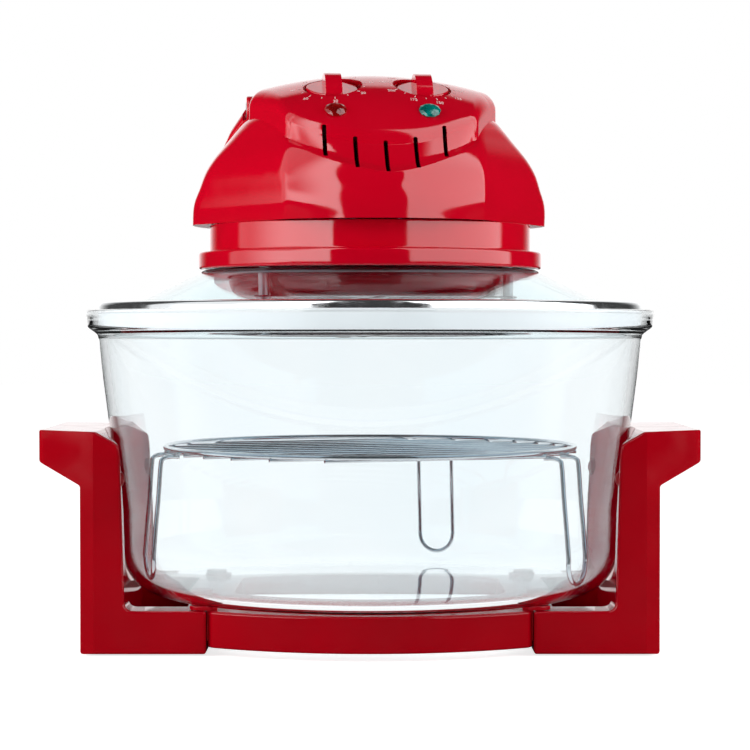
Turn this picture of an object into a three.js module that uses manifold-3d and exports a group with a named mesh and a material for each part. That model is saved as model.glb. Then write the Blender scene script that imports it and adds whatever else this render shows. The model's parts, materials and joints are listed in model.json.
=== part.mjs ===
// Countertop halogen oven: a glass bowl in a bracketed stand, and a domed heater head on a glass lid.
// Sizes are in millimetres. The table is z = 0, the front faces -y, and +x is to the viewer's right.

import * as THREE from 'three';
import { mergeVertices } from 'three/addons/utils/BufferGeometryUtils.js';
import Module from 'manifold-3d';

const wasm = await Module();
wasm.setup();

// Clearances, cuts and how round things are
const gap = 0.3;
const overrun = 2;
const weldTolerance = 1e-5;
const turnSides = 32;
const liningSides = 20;
const midSides = 16;
const smallSides = 10;
const wireSides = 6;
const quarter = Math.PI / 2;

// Stand ring
const ringHalfWidth = 91.7;
const ringEndInset = 2;
const ringBulge = 27;
const ringWall = 14;
const ringUnderside = 4.5;
const ringEndRound = 4;
const ringOpeningRound = 10;

// Side brackets
const standDepth = 124;
const bracketUnderside = 1;
const footHeight = 25.3;
const footFillet = 5.5;
const bowlClearance = 3;
const columnWall = 7.9;
const columnWidth = 22.6;
const columnDraft = 2.4;
const gripHeight = 126.8;
const gripReach = 24;
const gripTipThickness = 17.8;
const gripRootDrop = 13.4;
const gripTopFall = 0.9;
const gripTaper = 5;
const gripTaperInset = 7.6;
const gripEndRound = 5;
const shoulderWidth = 13;
const shoulderDrop = 7.4;
const shoulderInset = 9;

// Bowl pads on their lugs, wall bumpers, rubber feet and the stand's screws
const lugRadius = 7.25;
const lugReach = 2.8;
const lugEdgeInset = 7.5;
const lugThickness = 2.4;
const lugRootWidth = 9;
const lugRootDepth = 6;
const padInset = 1;
const padHeight = 2;
const padEdge = 0.7;
const bumperRadius = 5;
const bumperHeight = 99;
const bumperEdgeInset = 8;
const bumperSink = 1.2;
const bumperStemRadius = 2.2;
const bumperStemLength = 5;
const rubberFootRadius = 8;
const rubberFootSeat = 1.9;
const rubberFootInset = 16;
const screwRadius = 1.5;
const screwHeadRadius = 3.3;
const screwHeadHeight = 2.5;
const standScrewOffset = 3.8;
const standScrewShoulder = 17;

// Glass bowl
const bowlGlass = 4.6;
const bowlFlatRadius = 121;
const bowlCornerReach = 24;
const bowlCornerRise = 27.4;
const bowlKneeStep = 0.7;
const bowlKneeHeight = 48.4;
const bowlWallFlare = 12.8;
const bowlWallHeight = 149.4;
const bowlRimHeight = 14.5;
const bowlRimStep = 1.1;
const bowlRimFlare = 5.8;
const bowlRimRound = 1.4;
const bowlLedgeDrop = 6.3;
const bowlLedgeInset = 6.5;

// Wire rack
const rackHeight = 84.4;
const rackInset = 1.6;
const rackTurn = THREE.MathUtils.degToRad(21);
const rackRingWire = 1.6;
const rackGridWire = 1.2;
const rackGridWires = 11;
const rackGridMarginShare = 0.82;
const rackWeld = 0.6;
const rackLegWire = 1.3;
const rackLegHalfWidth = 11;
const rackLegTopReach = 8.5;
const rackLegFootReach = 12.2;
const rackLegStub = 1.9;
const rackLegBend = 5;
const rackLegAngles = [19, 120, -109.5].map(THREE.MathUtils.degToRad);

// Lid: steel rim, seal and glass cone
const lidSideClearance = 0.5;
const lidSheet = 0.8;
const lidRimHeight = 6.1;
const lidRimRise = 4.6;
const lidRimWidth = 15.8;
const lidRimLip = 2.7;
const lidRimCorner = 0.8;
const lidGlass = 3.8;
const lidGlassEdgeInset = 4.9;
const lidGlassEdgeRise = 2.4;
const lidConeRise = 26.9;
const lidCollarRadius = 96;
const lidCollarWidth = 5;

// Head: the base with its flange and neck
const headTurn = THREE.MathUtils.degToRad(6);
const headWall = 3;
const flangeOverhang = 4;
const flangeHeight = 9.8;
const flangeRound = 1.6;
const neckInset = 6.5;
const neckHeight = 15.6;
const pillarRadius = 5;
const pillarShoulder = 4;
const pillarAngles = [5, 115, 245].map(THREE.MathUtils.degToRad);
const shaftHoleRadius = 6;

// Head: the domed cover, its control panel and its vents
const coverWall = 2.8;
const coverFlange = 2;
const coverFlangeWidth = 25.5;
const coverBossHeight = 6;
const coverBossRadius = 4;
const domeOverhang = 10;
const domeHeight = 77;
const domeRadiusShares = [1, 0.998, 0.987, 0.966, 0.934, 0.892, 0.85, 0.805, 0.754, 0.705, 0.6, 0.42, 0.03];
const domeHeightShares = [0, 0.112, 0.188, 0.26, 0.383, 0.48, 0.552, 0.623, 0.708, 0.779, 0.883, 0.965, 1];
const creaseTurn = THREE.MathUtils.degToRad(35.5);
const wingTurn = THREE.MathUtils.degToRad(58);
const noseSteps = 3;
const wingSteps = 3;
const backSteps = 8;
const ventRecessFoot = 1.5;
const ventRecessHead = 5;
const ventRecessHeight = 45;
const ventRecessHalfWidth = 58;
const ridgeHeight = 25;
const ridgeSlope = THREE.MathUtils.degToRad(32);
const ventCount = 5;
const ventPitch = 16.7;
const ventWidth = 2.4;
const ventHeight = 19;
const ventSideRise = 9;
const capInset = 32;
const capCentreOffset = 18;
const capFrontReach = 64.5;
const capBackReach = 62;
const capHeight = 87.5;
const capFoot = 18;
const capEdgeRound = 8;
const capRingShares = [0.02, 0.36, 0.7];
const capSideFall = 11;
const panelLength = 95;
const panelFall = 70;
const panelApexOffset = 5;

// Knobs, their recesses and the switch bodies below them
const knobX = 25.7;
const knobY = -40;
const knobRadius = 14.8;
const knobDisc = 3.4;
const knobSink = 1.4;
const knobGripWidth = 9.4;
const knobGripHeight = 6.4;
const knobCrestSteps = 8;
const knobShaftRadius = 3;
const knobShaftLength = 9;
const recessClearance = 1.8;
const recessWall = 2.4;
const timerWidth = 36;
const timerDepth = 32;
const timerHeight = 20;
const thermostatRadius = 15;
const thermostatHeight = 13;

// Lamps
const lampX = 26.3;
const lampY = -68;
const lensRadius = 6.2;
const lensHeight = 2.6;
const lensSeat = 0.6;
const lensStemRadius = 3.8;
const lensStemLength = 9;
const lampHolderRadius = 5.6;
const lampHolderLength = 13;
const lampHolderGap = 1.6;

// Safety handle
const handlePivotY = 12;
const handlePivotHeight = 67.2;
const handleBossInset = 5.5;
const handleBossRadius = 8;
const handleBossDepth = 10;
const handleHubRadius = 9;
const handleHubThickness = 5.5;
const handleGripThickness = 8;
const handleArmHeight = 11;
const handleGripHeight = 15;
const handleClearance = 1.6;
const handleRoomGap = 0.8;
const handleRearHeight = 6;
const handleArmAzimuths = [18.1, 28.7, 40.7, 57.8, 90].map(THREE.MathUtils.degToRad);
const handleArmHeightShares = [0.82, 0.525, 0.262, 0.085, 0];
const handlePinRadius = 3;
const handlePinHead = 5;
const handlePinHeadHeight = 1.8;
const switchLength = 11;
const switchWidth = 7;
const switchHeight = 8;
const switchDrop = 6;

// Heater pan, guard, ring-shaped heater and what carries them
const clampSheet = 1.2;
const clampClearance = 0.9;
const panInset = 1;
const panDepth = 6.5;
const panSheet = 0.8;
const guardClearance = 1.1;
const guardDepth = 11.6;
const guardCorner = 11;
const guardSlots = 12;
const guardSlotWidth = 7;
const guardSlotInner = 20;
const guardSlotOuter = 66;
const guardEarWidth = 11;
const boltRadius = 2.9;
const boltClearance = 1.6;
const boltHeadRadius = 4.5;
const boltHeadHeight = 2.4;
const boltThread = 4;
const boltAngles = [-49, 59, 185].map(THREE.MathUtils.degToRad);
const heaterInset = 20.5;
const heaterTubeRadius = 4.6;
const heaterHeight = 6.7;
const heaterGapAngle = THREE.MathUtils.degToRad(13);
const heaterEndLength = 12;
const heaterEndWidth = 13;

// Motor, shaft and fans
const motorRadius = 24;
const motorHeight = 26;
const motorNose = 9;
const motorNoseHeight = 3;
const shaftRadius = 2.5;
const shaftTail = 2;
const fanClearance = 9.4;
const fanHubRadius = 10;
const fanBlades = 6;
const fanBladeWidth = 20;
const fanBladeSheet = 1;
const fanPitch = THREE.MathUtils.degToRad(22);
const fanHubHeight = 8;
const coolingFanRadius = 36;
const coolingFanRise = 4;

// Cord inlet at the back of the neck
const inletRadius = 5;
const inletBore = 2.8;
const inletFlangeInset = 0.6;
const inletFlangeThickness = 2.4;
const inletLength = 9;
const inletDepth = 7;

// Materials
function plastic(color, roughness) {
  return new THREE.MeshStandardMaterial({ color, roughness, metalness: 0 });
}

function metal(color, roughness) {
  return new THREE.MeshStandardMaterial({ color, roughness, metalness: 1 });
}

function clear(color, opacity) {
  return new THREE.MeshStandardMaterial({ color, roughness: 0.03, metalness: 0, transparent: true, opacity });
}

const headRed = plastic(0xc8001f, 0.12);
const standRed = plastic(0x9c0815, 0.18);
const rubberRed = plastic(0x8c0a14, 0.6);
const blackRubber = plastic(0x1c1c1e, 0.8);
const blackPlastic = plastic(0x26262a, 0.5);
const whitePlastic = plastic(0xe8e6df, 0.5);
const ceramic = plastic(0xf0ece2, 0.7);
const silicone = plastic(0xd9dadb, 0.55);
const bowlGlassLook = clear(0xdfeaec, 0.3);
const lidGlassLook = clear(0xdbe6e6, 0.35);
const heaterLook = clear(0xe9d9cf, 0.6);
const redLens = clear(0xa3120a, 0.85);
const tealLens = clear(0x007d74, 0.85);
const chrome = metal(0xd9dbde, 0.08);
const polishedSteel = metal(0xcfd2d4, 0.15);
const zincSteel = metal(0xa9adb0, 0.35);
const aluminium = metal(0xbfc2c4, 0.35);

// Closed meshes, and joins and cuts between them
function toSolid(geometry) {
  const bare = geometry.clone();
  bare.deleteAttribute('normal');
  bare.deleteAttribute('uv');
  const merged = mergeVertices(bare, weldTolerance);
  const vertProperties = new Float32Array(merged.attributes.position.array);
  const corners = [];
  let volume = 0;
  const a = new THREE.Vector3();
  const b = new THREE.Vector3();
  const c = new THREE.Vector3();
  for (let i = 0; i < merged.index.count; i += 3) {
    const [p, q, r] = [0, 1, 2].map((k) => merged.index.getX(i + k));
    if (p !== q && q !== r && r !== p) {
      corners.push(p, q, r);
      a.fromBufferAttribute(merged.attributes.position, p);
      b.fromBufferAttribute(merged.attributes.position, q);
      c.fromBufferAttribute(merged.attributes.position, r);
      volume += a.dot(b.cross(c));
    }
  }
  if (volume < 0) {
    corners.reverse();
  }
  const triVerts = new Uint32Array(corners);
  return new wasm.Manifold(new wasm.Mesh({ numProp: 3, vertProperties, triVerts }));
}

function unite(first, ...others) {
  return others.reduce((whole, other) => whole.add(other), first);
}

function cut(body, ...tools) {
  return tools.reduce((rest, tool) => rest.subtract(tool), body);
}

function toGeometry(solid) {
  const mesh = solid.getMesh();
  const geometry = new THREE.BufferGeometry();
  geometry.setAttribute('position', new THREE.BufferAttribute(new Float32Array(mesh.vertProperties), 3));
  geometry.setIndex(new THREE.BufferAttribute(new Uint32Array(mesh.triVerts), 1));
  geometry.computeVertexNormals();
  return geometry;
}

function add(group, name, solid, material) {
  const mesh = new THREE.Mesh(toGeometry(solid), material);
  mesh.name = name;
  group.add(mesh);
  return mesh;
}

// Turned about z: the profile is a list of [radius, height]
function turned(profile, sides = turnSides) {
  const points = profile.map(([radius, height]) => new THREE.Vector2(radius, height));
  return new THREE.LatheGeometry(points, sides).rotateX(quarter);
}

// A turned ring whose profile closes on itself
function turnedRing(profile, sides = turnSides) {
  return turned([...profile, profile[0]], sides);
}

// A plain round bar along z, from one height to another
function bar(radius, low, high, sides = smallSides) {
  return turned([[0, low], [radius, low], [radius, high], [0, high]], sides);
}

function block(width, depth, height) {
  return new THREE.BoxGeometry(width, depth, height);
}

// An outline in x and z, extruded along y about y = 0
function frontSlab(outline, depth) {
  const shape = new THREE.Shape(outline.map(([x, z]) => new THREE.Vector2(x, z)));
  const slab = new THREE.ExtrudeGeometry(shape, { depth, bevelEnabled: false });
  return slab.rotateX(quarter).translate(0, depth / 2, 0);
}

// An outline in x and y, extruded along z between two heights
function planSlab(outline, low, high) {
  const shape = new THREE.Shape(outline.map(([x, y]) => new THREE.Vector2(x, y)));
  const slab = new THREE.ExtrudeGeometry(shape, { depth: high - low, bevelEnabled: false });
  return slab.translate(0, 0, low);
}

function tube(path, radius, sides, steps) {
  const section = new THREE.Shape(new THREE.EllipseCurve(0, 0, radius, radius).getPoints(sides).slice(0, -1));
  return new THREE.ExtrudeGeometry(section, { steps, extrudePath: path, bevelEnabled: false });
}

// A closed skin through rings of points that all have the same count
function skinned(rings) {
  const count = rings[0].length;
  const last = (rings.length - 1) * count;
  const index = [];
  for (let i = 0; i + 1 < rings.length; i += 1) {
    for (let j = 0; j < count; j += 1) {
      const here = i * count + j;
      const beside = i * count + ((j + 1) % count);
      index.push(here, beside, beside + count, here, beside + count, here + count);
    }
  }
  for (let j = 1; j + 1 < count; j += 1) {
    index.push(0, j + 1, j, last, last + j, last + j + 1);
  }
  const geometry = new THREE.BufferGeometry();
  const positions = rings.flat().flatMap((point) => point.toArray());
  geometry.setAttribute('position', new THREE.Float32BufferAttribute(positions, 3));
  geometry.setIndex(index);
  return geometry;
}

// Points of a quarter ellipse from its low end on the inside to its high end on the outside
function cornerArc(centreRadius, centreHeight, reach, rise, steps) {
  return Array.from({ length: steps + 1 }, (_, i) => {
    const angle = (i / steps) * quarter;
    return [centreRadius + reach * Math.sin(angle), centreHeight - rise * Math.cos(angle)];
  });
}

// Place in plan at an angle from the front (-y) towards +x
function aroundFromFront(radius, angle) {
  return [radius * Math.sin(angle), -radius * Math.cos(angle)];
}

// How far the middle of a side of a turned piece lies inside its corners
function flatness(radius) {
  return radius * (1 - Math.cos(Math.PI / turnSides));
}

// Heights and radii that follow from the sizes above
const ringTop = footHeight;
const lugUnderside = footHeight + gap;
const lugTop = lugUnderside + lugThickness;
const padTop = lugTop + gap + padHeight;
const bowlBottom = padTop + gap;
const bowlFootRadius = bowlFlatRadius + bowlCornerReach;
const bowlKneeRadius = bowlFootRadius + bowlKneeStep;
const bowlWallRadius = bowlKneeRadius + bowlWallFlare;
const bowlRimRadius = bowlWallRadius + bowlRimFlare;
const bowlKneeZ = bowlBottom + bowlKneeHeight;
const bowlWallZ = bowlBottom + bowlWallHeight;
const bowlRimZ = bowlWallZ + bowlRimHeight;
const bowlLedgeZ = bowlRimZ - bowlLedgeDrop;
const bowlLedgeRadius = bowlRimRadius - bowlLedgeInset;

function bowlRadiusAt(z) {
  const share = (z - bowlKneeZ) / (bowlWallZ - bowlKneeZ);
  return bowlKneeRadius + bowlWallFlare * Math.max(share, 0);
}

const columnOuter = bowlRadiusAt(gripHeight) + bowlClearance + columnWall;
const columnInnerTop = columnOuter - columnWidth;
const columnInnerFoot = columnInnerTop - columnDraft;
const gripOuter = columnOuter + gripReach;
const footInner = ringHalfWidth + gap;
const ringEndDepth = standDepth / 2 - ringEndInset;
const lugX = ringHalfWidth + lugReach;
const lugY = standDepth / 2 - lugEdgeInset;
const padRadius = lugRadius - padInset;
const standScrewX = lugX + standScrewOffset;
const screwHoleRadius = screwRadius + gap;
const screwBoreRadius = screwHeadRadius + gap;
const rubberFootX = (footInner + columnOuter) / 2;
const rubberFootY = standDepth / 2 - rubberFootInset;

const rackRadius = bowlFlatRadius - rackInset;
const rackGridPitch = (rackRadius * 2) / (rackGridWires + rackGridMarginShare);

const lidSeatZ = bowlLedgeZ + gap;
const lidRimRadius = bowlLedgeRadius - lidSideClearance;
const lidShoulderZ = lidSeatZ + lidRimHeight;
const lidRimTopZ = lidShoulderZ + lidRimRise;
const lidRimInner = lidRimRadius - lidRimWidth;
const lidGlassRadius = lidRimRadius - lidGlassEdgeInset;
const lidGlassEdgeZ = lidSeatZ + lidGlassEdgeRise;
const lidCollarZ = lidGlassEdgeZ + lidConeRise;
const lidConeSlope = lidConeRise / (lidGlassRadius - lidCollarRadius);

const flangeRadius = lidCollarRadius + flangeOverhang;
const neckRadius = flangeRadius - neckInset;
const domeRadius = neckRadius + domeOverhang;
const pillarCircle = neckRadius - headWall - pillarRadius;
const boltCircle = lidCollarRadius - lidCollarWidth - boltRadius - boltClearance;
const boltHoleRadius = boltRadius + gap;
const guardRadius = boltCircle - boltRadius - guardClearance;
const clampInnerRadius = guardRadius + clampClearance;
const panRadius = guardRadius - panInset;
const heaterRadius = guardRadius - heaterInset;
const fanRadius = heaterRadius - heaterTubeRadius - fanClearance;
const capHalfWidth = domeRadius - capInset;
const recessRadius = knobRadius + recessClearance;
const handleBossFace = capHalfWidth - handleBossInset;
const inletFlange = neckHeight / 2 - inletFlangeInset;

const headBottom = lidCollarZ + gap;
const flangeTop = headBottom + flangeHeight;
const headFloorTop = headBottom + headWall;
const neckTop = flangeTop + neckHeight;
const coverBottom = neckTop + gap;
const coverTopZ = coverBottom + capHeight;
const panTop = headBottom - gap;
const guardTop = panTop - panDepth - gap;
const guardBottom = guardTop - guardDepth;

// The stand: a bulging ring between two side brackets
function ringOutline(halfWidth, endDepth, bulge, round) {
  const radius = (halfWidth ** 2 + bulge ** 2) / (2 * bulge);
  const centre = radius - bulge - endDepth;
  const corner = halfWidth - round;
  const steps = 14;
  const front = Array.from({ length: steps + 1 }, (_, i) => {
    const x = -halfWidth * Math.cos((i / steps) * Math.PI);
    const past = Math.max(Math.abs(x) - corner, 0);
    const lost = round - Math.sqrt(Math.max(round ** 2 - past ** 2, 0));
    return [x, centre - Math.sqrt(radius ** 2 - x ** 2) + lost];
  });
  const back = front.map(([x, y]) => [-x, -y]);
  return [...front, ...back];
}

function lug(side, end) {
  const x = side * lugX;
  const y = end * lugY;
  const disc = toSolid(bar(lugRadius, lugUnderside, lugTop).translate(x, y, 0));
  const rootCentre = side * (ringHalfWidth - lugRootDepth / 2);
  const rootHeight = lugTop - ringUnderside - ringEndRound;
  const root = toSolid(
    block(lugRootDepth, lugRootWidth, rootHeight).translate(rootCentre, y, lugTop - rootHeight / 2),
  );
  const hole = toSolid(
    bar(screwHoleRadius, lugUnderside - overrun, lugTop + overrun).translate(side * standScrewX, y, 0),
  );
  return cut(unite(disc, root), hole);
}

function standRing() {
  const outside = ringOutline(ringHalfWidth, ringEndDepth, ringBulge, ringEndRound);
  const inside = ringOutline(ringHalfWidth - ringWall, ringEndDepth - ringWall, ringBulge, ringOpeningRound);
  const rim = toSolid(planSlab(outside, ringUnderside, ringTop));
  const opening = toSolid(planSlab(inside, ringUnderside - overrun, ringTop + overrun));
  const lugs = [-1, 1].flatMap((side) => [-1, 1].map((end) => lug(side, end)));
  return unite(cut(rim, opening), ...lugs);
}

function bowlClearanceSolid() {
  const reach = bowlCornerReach + bowlClearance;
  const corner = cornerArc(bowlFlatRadius, bowlBottom + bowlCornerRise, reach, bowlCornerRise, 4);
  return toSolid(turned([
    [0, bowlBottom - gap],
    [bowlFlatRadius, bowlBottom - gap],
    ...corner.slice(1),
    [bowlKneeRadius + bowlClearance, bowlKneeZ],
    [bowlWallRadius + bowlClearance, bowlWallZ],
    [0, bowlWallZ],
  ]));
}

function bracketOutline() {
  const gripRoot = gripHeight - gripTipThickness - gripRootDrop;
  const fillet = cornerArc(columnInnerFoot - footFillet, footHeight + footFillet, footFillet, footFillet, 4);
  return [
    [footInner, bracketUnderside],
    [columnOuter, bracketUnderside],
    [columnOuter, gripRoot],
    [gripOuter, gripHeight - gripTipThickness],
    [gripOuter, gripHeight],
    [columnOuter - shoulderInset, gripHeight - gripTopFall],
    [columnOuter - shoulderInset - shoulderWidth, gripHeight - gripTopFall - shoulderDrop],
    [columnInnerTop, gripHeight - gripTopFall - shoulderDrop - shoulderInset / 2],
    ...fillet.reverse(),
    [footInner, footHeight],
  ];
}

function bracketPlan() {
  const half = standDepth / 2;
  const tip = half - gripTaper;
  const bend = columnOuter - gripTaperInset;
  const corner = cornerArc(gripOuter - gripEndRound, -tip + gripEndRound, gripEndRound, gripEndRound, 4);
  const front = [[footInner - overrun, -half], [bend, -half], ...corner];
  const back = front.map(([x, y]) => [x, -y]).reverse();
  return [...front, ...back];
}

function bumperPlace(end) {
  const y = end * (standDepth / 2 - bumperEdgeInset);
  const tip = bowlRadiusAt(bumperHeight) + gap;
  const angle = Math.asin(y / tip);
  return { tip, angle };
}

// Turns a piece made along z so that its z points at the bowl's axis from the given radius
function facingBowl(geometry, radius, angle, height) {
  return geometry.rotateY(-quarter).translate(radius, 0, 0).rotateZ(angle).translate(0, 0, height);
}

const bumperSeatRadius = bowlRadiusAt(bumperHeight) + bowlClearance + bumperSink;

function sideBracket() {
  const front = toSolid(frontSlab(bracketOutline(), standDepth));
  const plan = toSolid(planSlab(bracketPlan(), bracketUnderside - overrun, gripHeight + overrun));
  let bracket = cut(front.intersect(plan), bowlClearanceSolid());
  for (const end of [-1, 1]) {
    const pocket = bar(rubberFootRadius + gap, -overrun, bracketUnderside + rubberFootSeat + gap, midSides);
    const bore = bar(screwBoreRadius, -overrun, standScrewShoulder);
    const hole = bar(screwHoleRadius, 0, footHeight + overrun);
    const { angle } = bumperPlace(end);
    const stem = bar(bumperStemRadius + gap, -bumperStemLength - gap, overrun);
    const seat = bar(bumperRadius + gap, -gap, bumperSink * 2);
    bracket = cut(
      bracket,
      toSolid(pocket.translate(rubberFootX, end * rubberFootY, 0)),
      toSolid(bore.translate(standScrewX, end * lugY, 0)),
      toSolid(hole.translate(standScrewX, end * lugY, 0)),
      toSolid(facingBowl(stem, bumperSeatRadius, angle, bumperHeight)),
      toSolid(facingBowl(seat, bumperSeatRadius, angle, bumperHeight)),
    );
  }
  return bracket;
}

function wallBumper(end) {
  const { tip, angle } = bumperPlace(end);
  const rise = bumperSeatRadius - tip;
  const head = cornerArc(0, 0, bumperRadius, rise, 4).map(([radius, height]) => [radius, -height]).reverse();
  const profile = [
    [0, -bumperStemLength],
    [bumperStemRadius, -bumperStemLength],
    [bumperStemRadius, 0],
    ...head,
  ];
  return toSolid(facingBowl(turned(profile, smallSides), bumperSeatRadius, angle, bumperHeight));
}

function standScrew() {
  const headTop = standScrewShoulder - gap;
  return toSolid(turned([
    [0, headTop - screwHeadHeight],
    [screwHeadRadius, headTop - screwHeadHeight],
    [screwHeadRadius, headTop],
    [screwRadius, headTop],
    [screwRadius, lugTop - gap],
    [0, lugTop - gap],
  ], smallSides));
}

function bowlPad() {
  const bottom = lugTop + gap;
  return toSolid(turned([
    [0, bottom],
    [padRadius, bottom],
    [padRadius, padTop - padEdge],
    [padRadius - padEdge, padTop],
    [0, padTop],
  ], smallSides));
}

function rubberFoot() {
  return toSolid(bar(rubberFootRadius, 0, bracketUnderside + rubberFootSeat, midSides));
}

function placed(solid, x, y) {
  return solid.translate([x, y, 0]);
}

function mirroredX(solid) {
  return solid.mirror([1, 0, 0]);
}

// The glass bowl
function glassBowl() {
  const cornerZ = bowlBottom + bowlCornerRise;
  const steps = 4;
  const outerCorner = cornerArc(bowlFlatRadius, cornerZ, bowlCornerReach, bowlCornerRise, steps);
  const innerCorner = cornerArc(
    bowlFlatRadius,
    cornerZ,
    bowlCornerReach - bowlGlass,
    bowlCornerRise - bowlGlass,
    steps,
  );
  return toSolid(turned([
    [0, bowlBottom],
    ...outerCorner,
    [bowlKneeRadius, bowlKneeZ],
    [bowlWallRadius, bowlWallZ],
    [bowlWallRadius + bowlRimStep, bowlWallZ + bowlRimStep],
    [bowlRimRadius, bowlRimZ - bowlRimRound],
    [bowlRimRadius - bowlRimRound, bowlRimZ],
    [bowlLedgeRadius + bowlRimRound, bowlRimZ],
    [bowlLedgeRadius, bowlRimZ - bowlRimRound],
    [bowlLedgeRadius, bowlLedgeZ],
    [bowlWallRadius - bowlGlass + bowlRimStep, bowlLedgeZ],
    [bowlWallRadius - bowlGlass, bowlWallZ],
    [bowlKneeRadius - bowlGlass, bowlKneeZ],
    ...innerCorner.reverse(),
    [0, bowlBottom + bowlGlass],
  ]));
}

// The wire rack
const rackZ = bowlBottom + rackHeight;

function rackGrid() {
  const ring = new THREE.TorusGeometry(rackRadius, rackRingWire, wireSides, turnSides);
  let grid = toSolid(ring.translate(0, 0, rackZ));
  const wireZ = rackZ - rackRingWire - rackGridWire + rackWeld;
  const middle = (rackGridWires - 1) / 2;
  for (let i = 0; i < rackGridWires; i += 1) {
    const offset = (i - middle) * rackGridPitch;
    const half = Math.sqrt(rackRadius ** 2 - offset ** 2);
    const wire = bar(rackGridWire, -half, half, wireSides).rotateY(quarter);
    grid = grid.add(toSolid(wire.translate(0, offset, wireZ).rotateZ(rackTurn)));
  }
  return grid;
}

// Where a leg's lowest wire lies on the rounded corner inside the bowl
function legFootZ(reach) {
  const inReach = bowlCornerReach - bowlGlass;
  const inRise = bowlCornerRise - bowlGlass;
  const share = (reach + flatness(reach) - bowlFlatRadius) / inReach;
  const level = Math.sqrt(1 - share ** 2);
  const slope = Math.atan((inRise / inReach) * (share / level));
  const surface = bowlBottom + bowlCornerRise - inRise * level;
  return surface + (rackLegWire + gap) / Math.cos(slope);
}

function rackLeg(angle) {
  const topZ = rackZ - rackRingWire - gap - rackLegWire;
  const footReach = rackRadius + rackLegFootReach;
  const topReach = rackRadius + rackLegTopReach;
  const footZ = legFootZ(footReach);
  const half = rackLegHalfWidth;
  const side = [
    [rackRadius - rackLegStub, topZ],
    [topReach - rackLegBend, topZ],
    [topReach - rackLegBend / 4, topZ - rackLegBend / 4],
    [topReach, topZ - rackLegBend],
    [(topReach * 2 + footReach) / 3, (topZ * 2 + footZ) / 3],
    [footReach, footZ + half + rackLegBend],
  ];
  const turns = [0, 1, 2, 3, 4].map((i) => (i / 4) * Math.PI);
  const points = [
    ...side.map(([reach, z]) => new THREE.Vector3(reach, half, z)),
    ...turns.map((turn) => {
      const z = footZ + half - half * Math.sin(turn);
      return new THREE.Vector3(footReach, half * Math.cos(turn), z);
    }),
    ...side.reverse().map(([reach, z]) => new THREE.Vector3(reach, -half, z)),
  ];
  const path = new THREE.CatmullRomCurve3(points, false, 'centripetal');
  return toSolid(tube(path, rackLegWire, wireSides, 26).rotateZ(quarter - angle));
}

// The lid's glass cone, its steel rim and the seal between them
function coneTopAt(radius) {
  return lidCollarZ - (radius - lidCollarRadius) * lidConeSlope;
}

function lidGlassCone() {
  const edgeSlant = lidGlass * Math.sin(Math.atan(lidConeSlope));
  const drop = lidGlass * Math.cos(Math.atan(lidConeSlope));
  return toSolid(turnedRing([
    [lidCollarRadius - lidCollarWidth, lidCollarZ],
    [lidCollarRadius, lidCollarZ],
    [lidGlassRadius, lidGlassEdgeZ],
    [lidGlassRadius - edgeSlant, lidGlassEdgeZ - drop],
    [lidCollarRadius - edgeSlant / 2, lidCollarZ - lidGlass],
    [lidCollarRadius - lidCollarWidth, lidCollarZ - lidGlass],
  ]));
}

function rimUndersideAt(radius) {
  const outer = lidRimRadius - lidSheet - lidRimCorner;
  const fall = (radius - lidRimInner) / (outer - lidRimInner);
  return lidRimTopZ - lidSheet - fall * lidRimRise;
}

function lidRim() {
  const inner = lidRimRadius - lidSheet;
  return toSolid(turnedRing([
    [lidRimRadius - lidRimLip, lidSeatZ],
    [lidRimRadius, lidSeatZ],
    [lidRimRadius, lidShoulderZ],
    [lidRimRadius - lidRimCorner, lidShoulderZ + lidRimCorner],
    [lidRimInner, lidRimTopZ],
    [lidRimInner, lidRimTopZ - lidSheet],
    [inner - lidRimCorner, rimUndersideAt(inner - lidRimCorner)],
    [inner, lidShoulderZ - lidSheet],
    [inner, lidSeatZ + lidSheet],
    [lidRimRadius - lidRimLip, lidSeatZ + lidSheet],
  ]));
}

function lidSeal() {
  const outer = lidRimRadius - lidSheet - gap;
  const glassEdge = lidGlassRadius + gap;
  const inner = lidRimInner + lidRimCorner;
  const rise = gap / Math.cos(Math.atan(lidConeSlope));
  const bottom = lidSeatZ + lidSheet + gap;
  return toSolid(turnedRing([
    [inner, coneTopAt(inner) + rise],
    [glassEdge, coneTopAt(glassEdge) + rise],
    [glassEdge, bottom],
    [outer, bottom],
    [outer, lidShoulderZ - lidSheet - gap],
    [outer - lidRimCorner, rimUndersideAt(outer - lidRimCorner + gap) - gap],
    [inner, rimUndersideAt(inner) - gap],
  ]));
}

// Head base: floor, flange and neck in one moulding, with screw pillars inside
function headBase() {
  const inside = neckRadius - headWall;
  let base = toSolid(turnedRing([
    [shaftHoleRadius, headBottom],
    [flangeRadius, headBottom],
    [flangeRadius, flangeTop - flangeRound],
    [flangeRadius - flangeRound, flangeTop],
    [neckRadius, flangeTop],
    [neckRadius, neckTop],
    [inside, neckTop],
    [inside, headFloorTop],
    [shaftHoleRadius, headFloorTop],
  ]));
  for (const angle of pillarAngles) {
    const [x, y] = aroundFromFront(pillarCircle, angle);
    const pillar = bar(pillarRadius, headFloorTop - headWall / 2, neckTop).translate(x, y, 0);
    const bore = bar(screwBoreRadius, headBottom - overrun, neckTop - pillarShoulder).translate(x, y, 0);
    const hole = bar(screwHoleRadius, headBottom, neckTop + overrun).translate(x, y, 0);
    base = cut(unite(base, toSolid(pillar)), toSolid(bore), toSolid(hole));
  }
  for (const angle of boltAngles) {
    const [x, y] = aroundFromFront(boltCircle, angle);
    const hole = bar(boltHoleRadius, headBottom - overrun, headFloorTop + overrun);
    base = cut(base, toSolid(hole.translate(x, y, 0)));
  }
  const inletHole = bar(inletRadius + gap, -headWall - overrun, overrun).rotateX(-quarter);
  const inletZ = (flangeTop + neckTop) / 2;
  return cut(base, toSolid(inletHole.translate(0, neckRadius, inletZ)));
}

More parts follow.
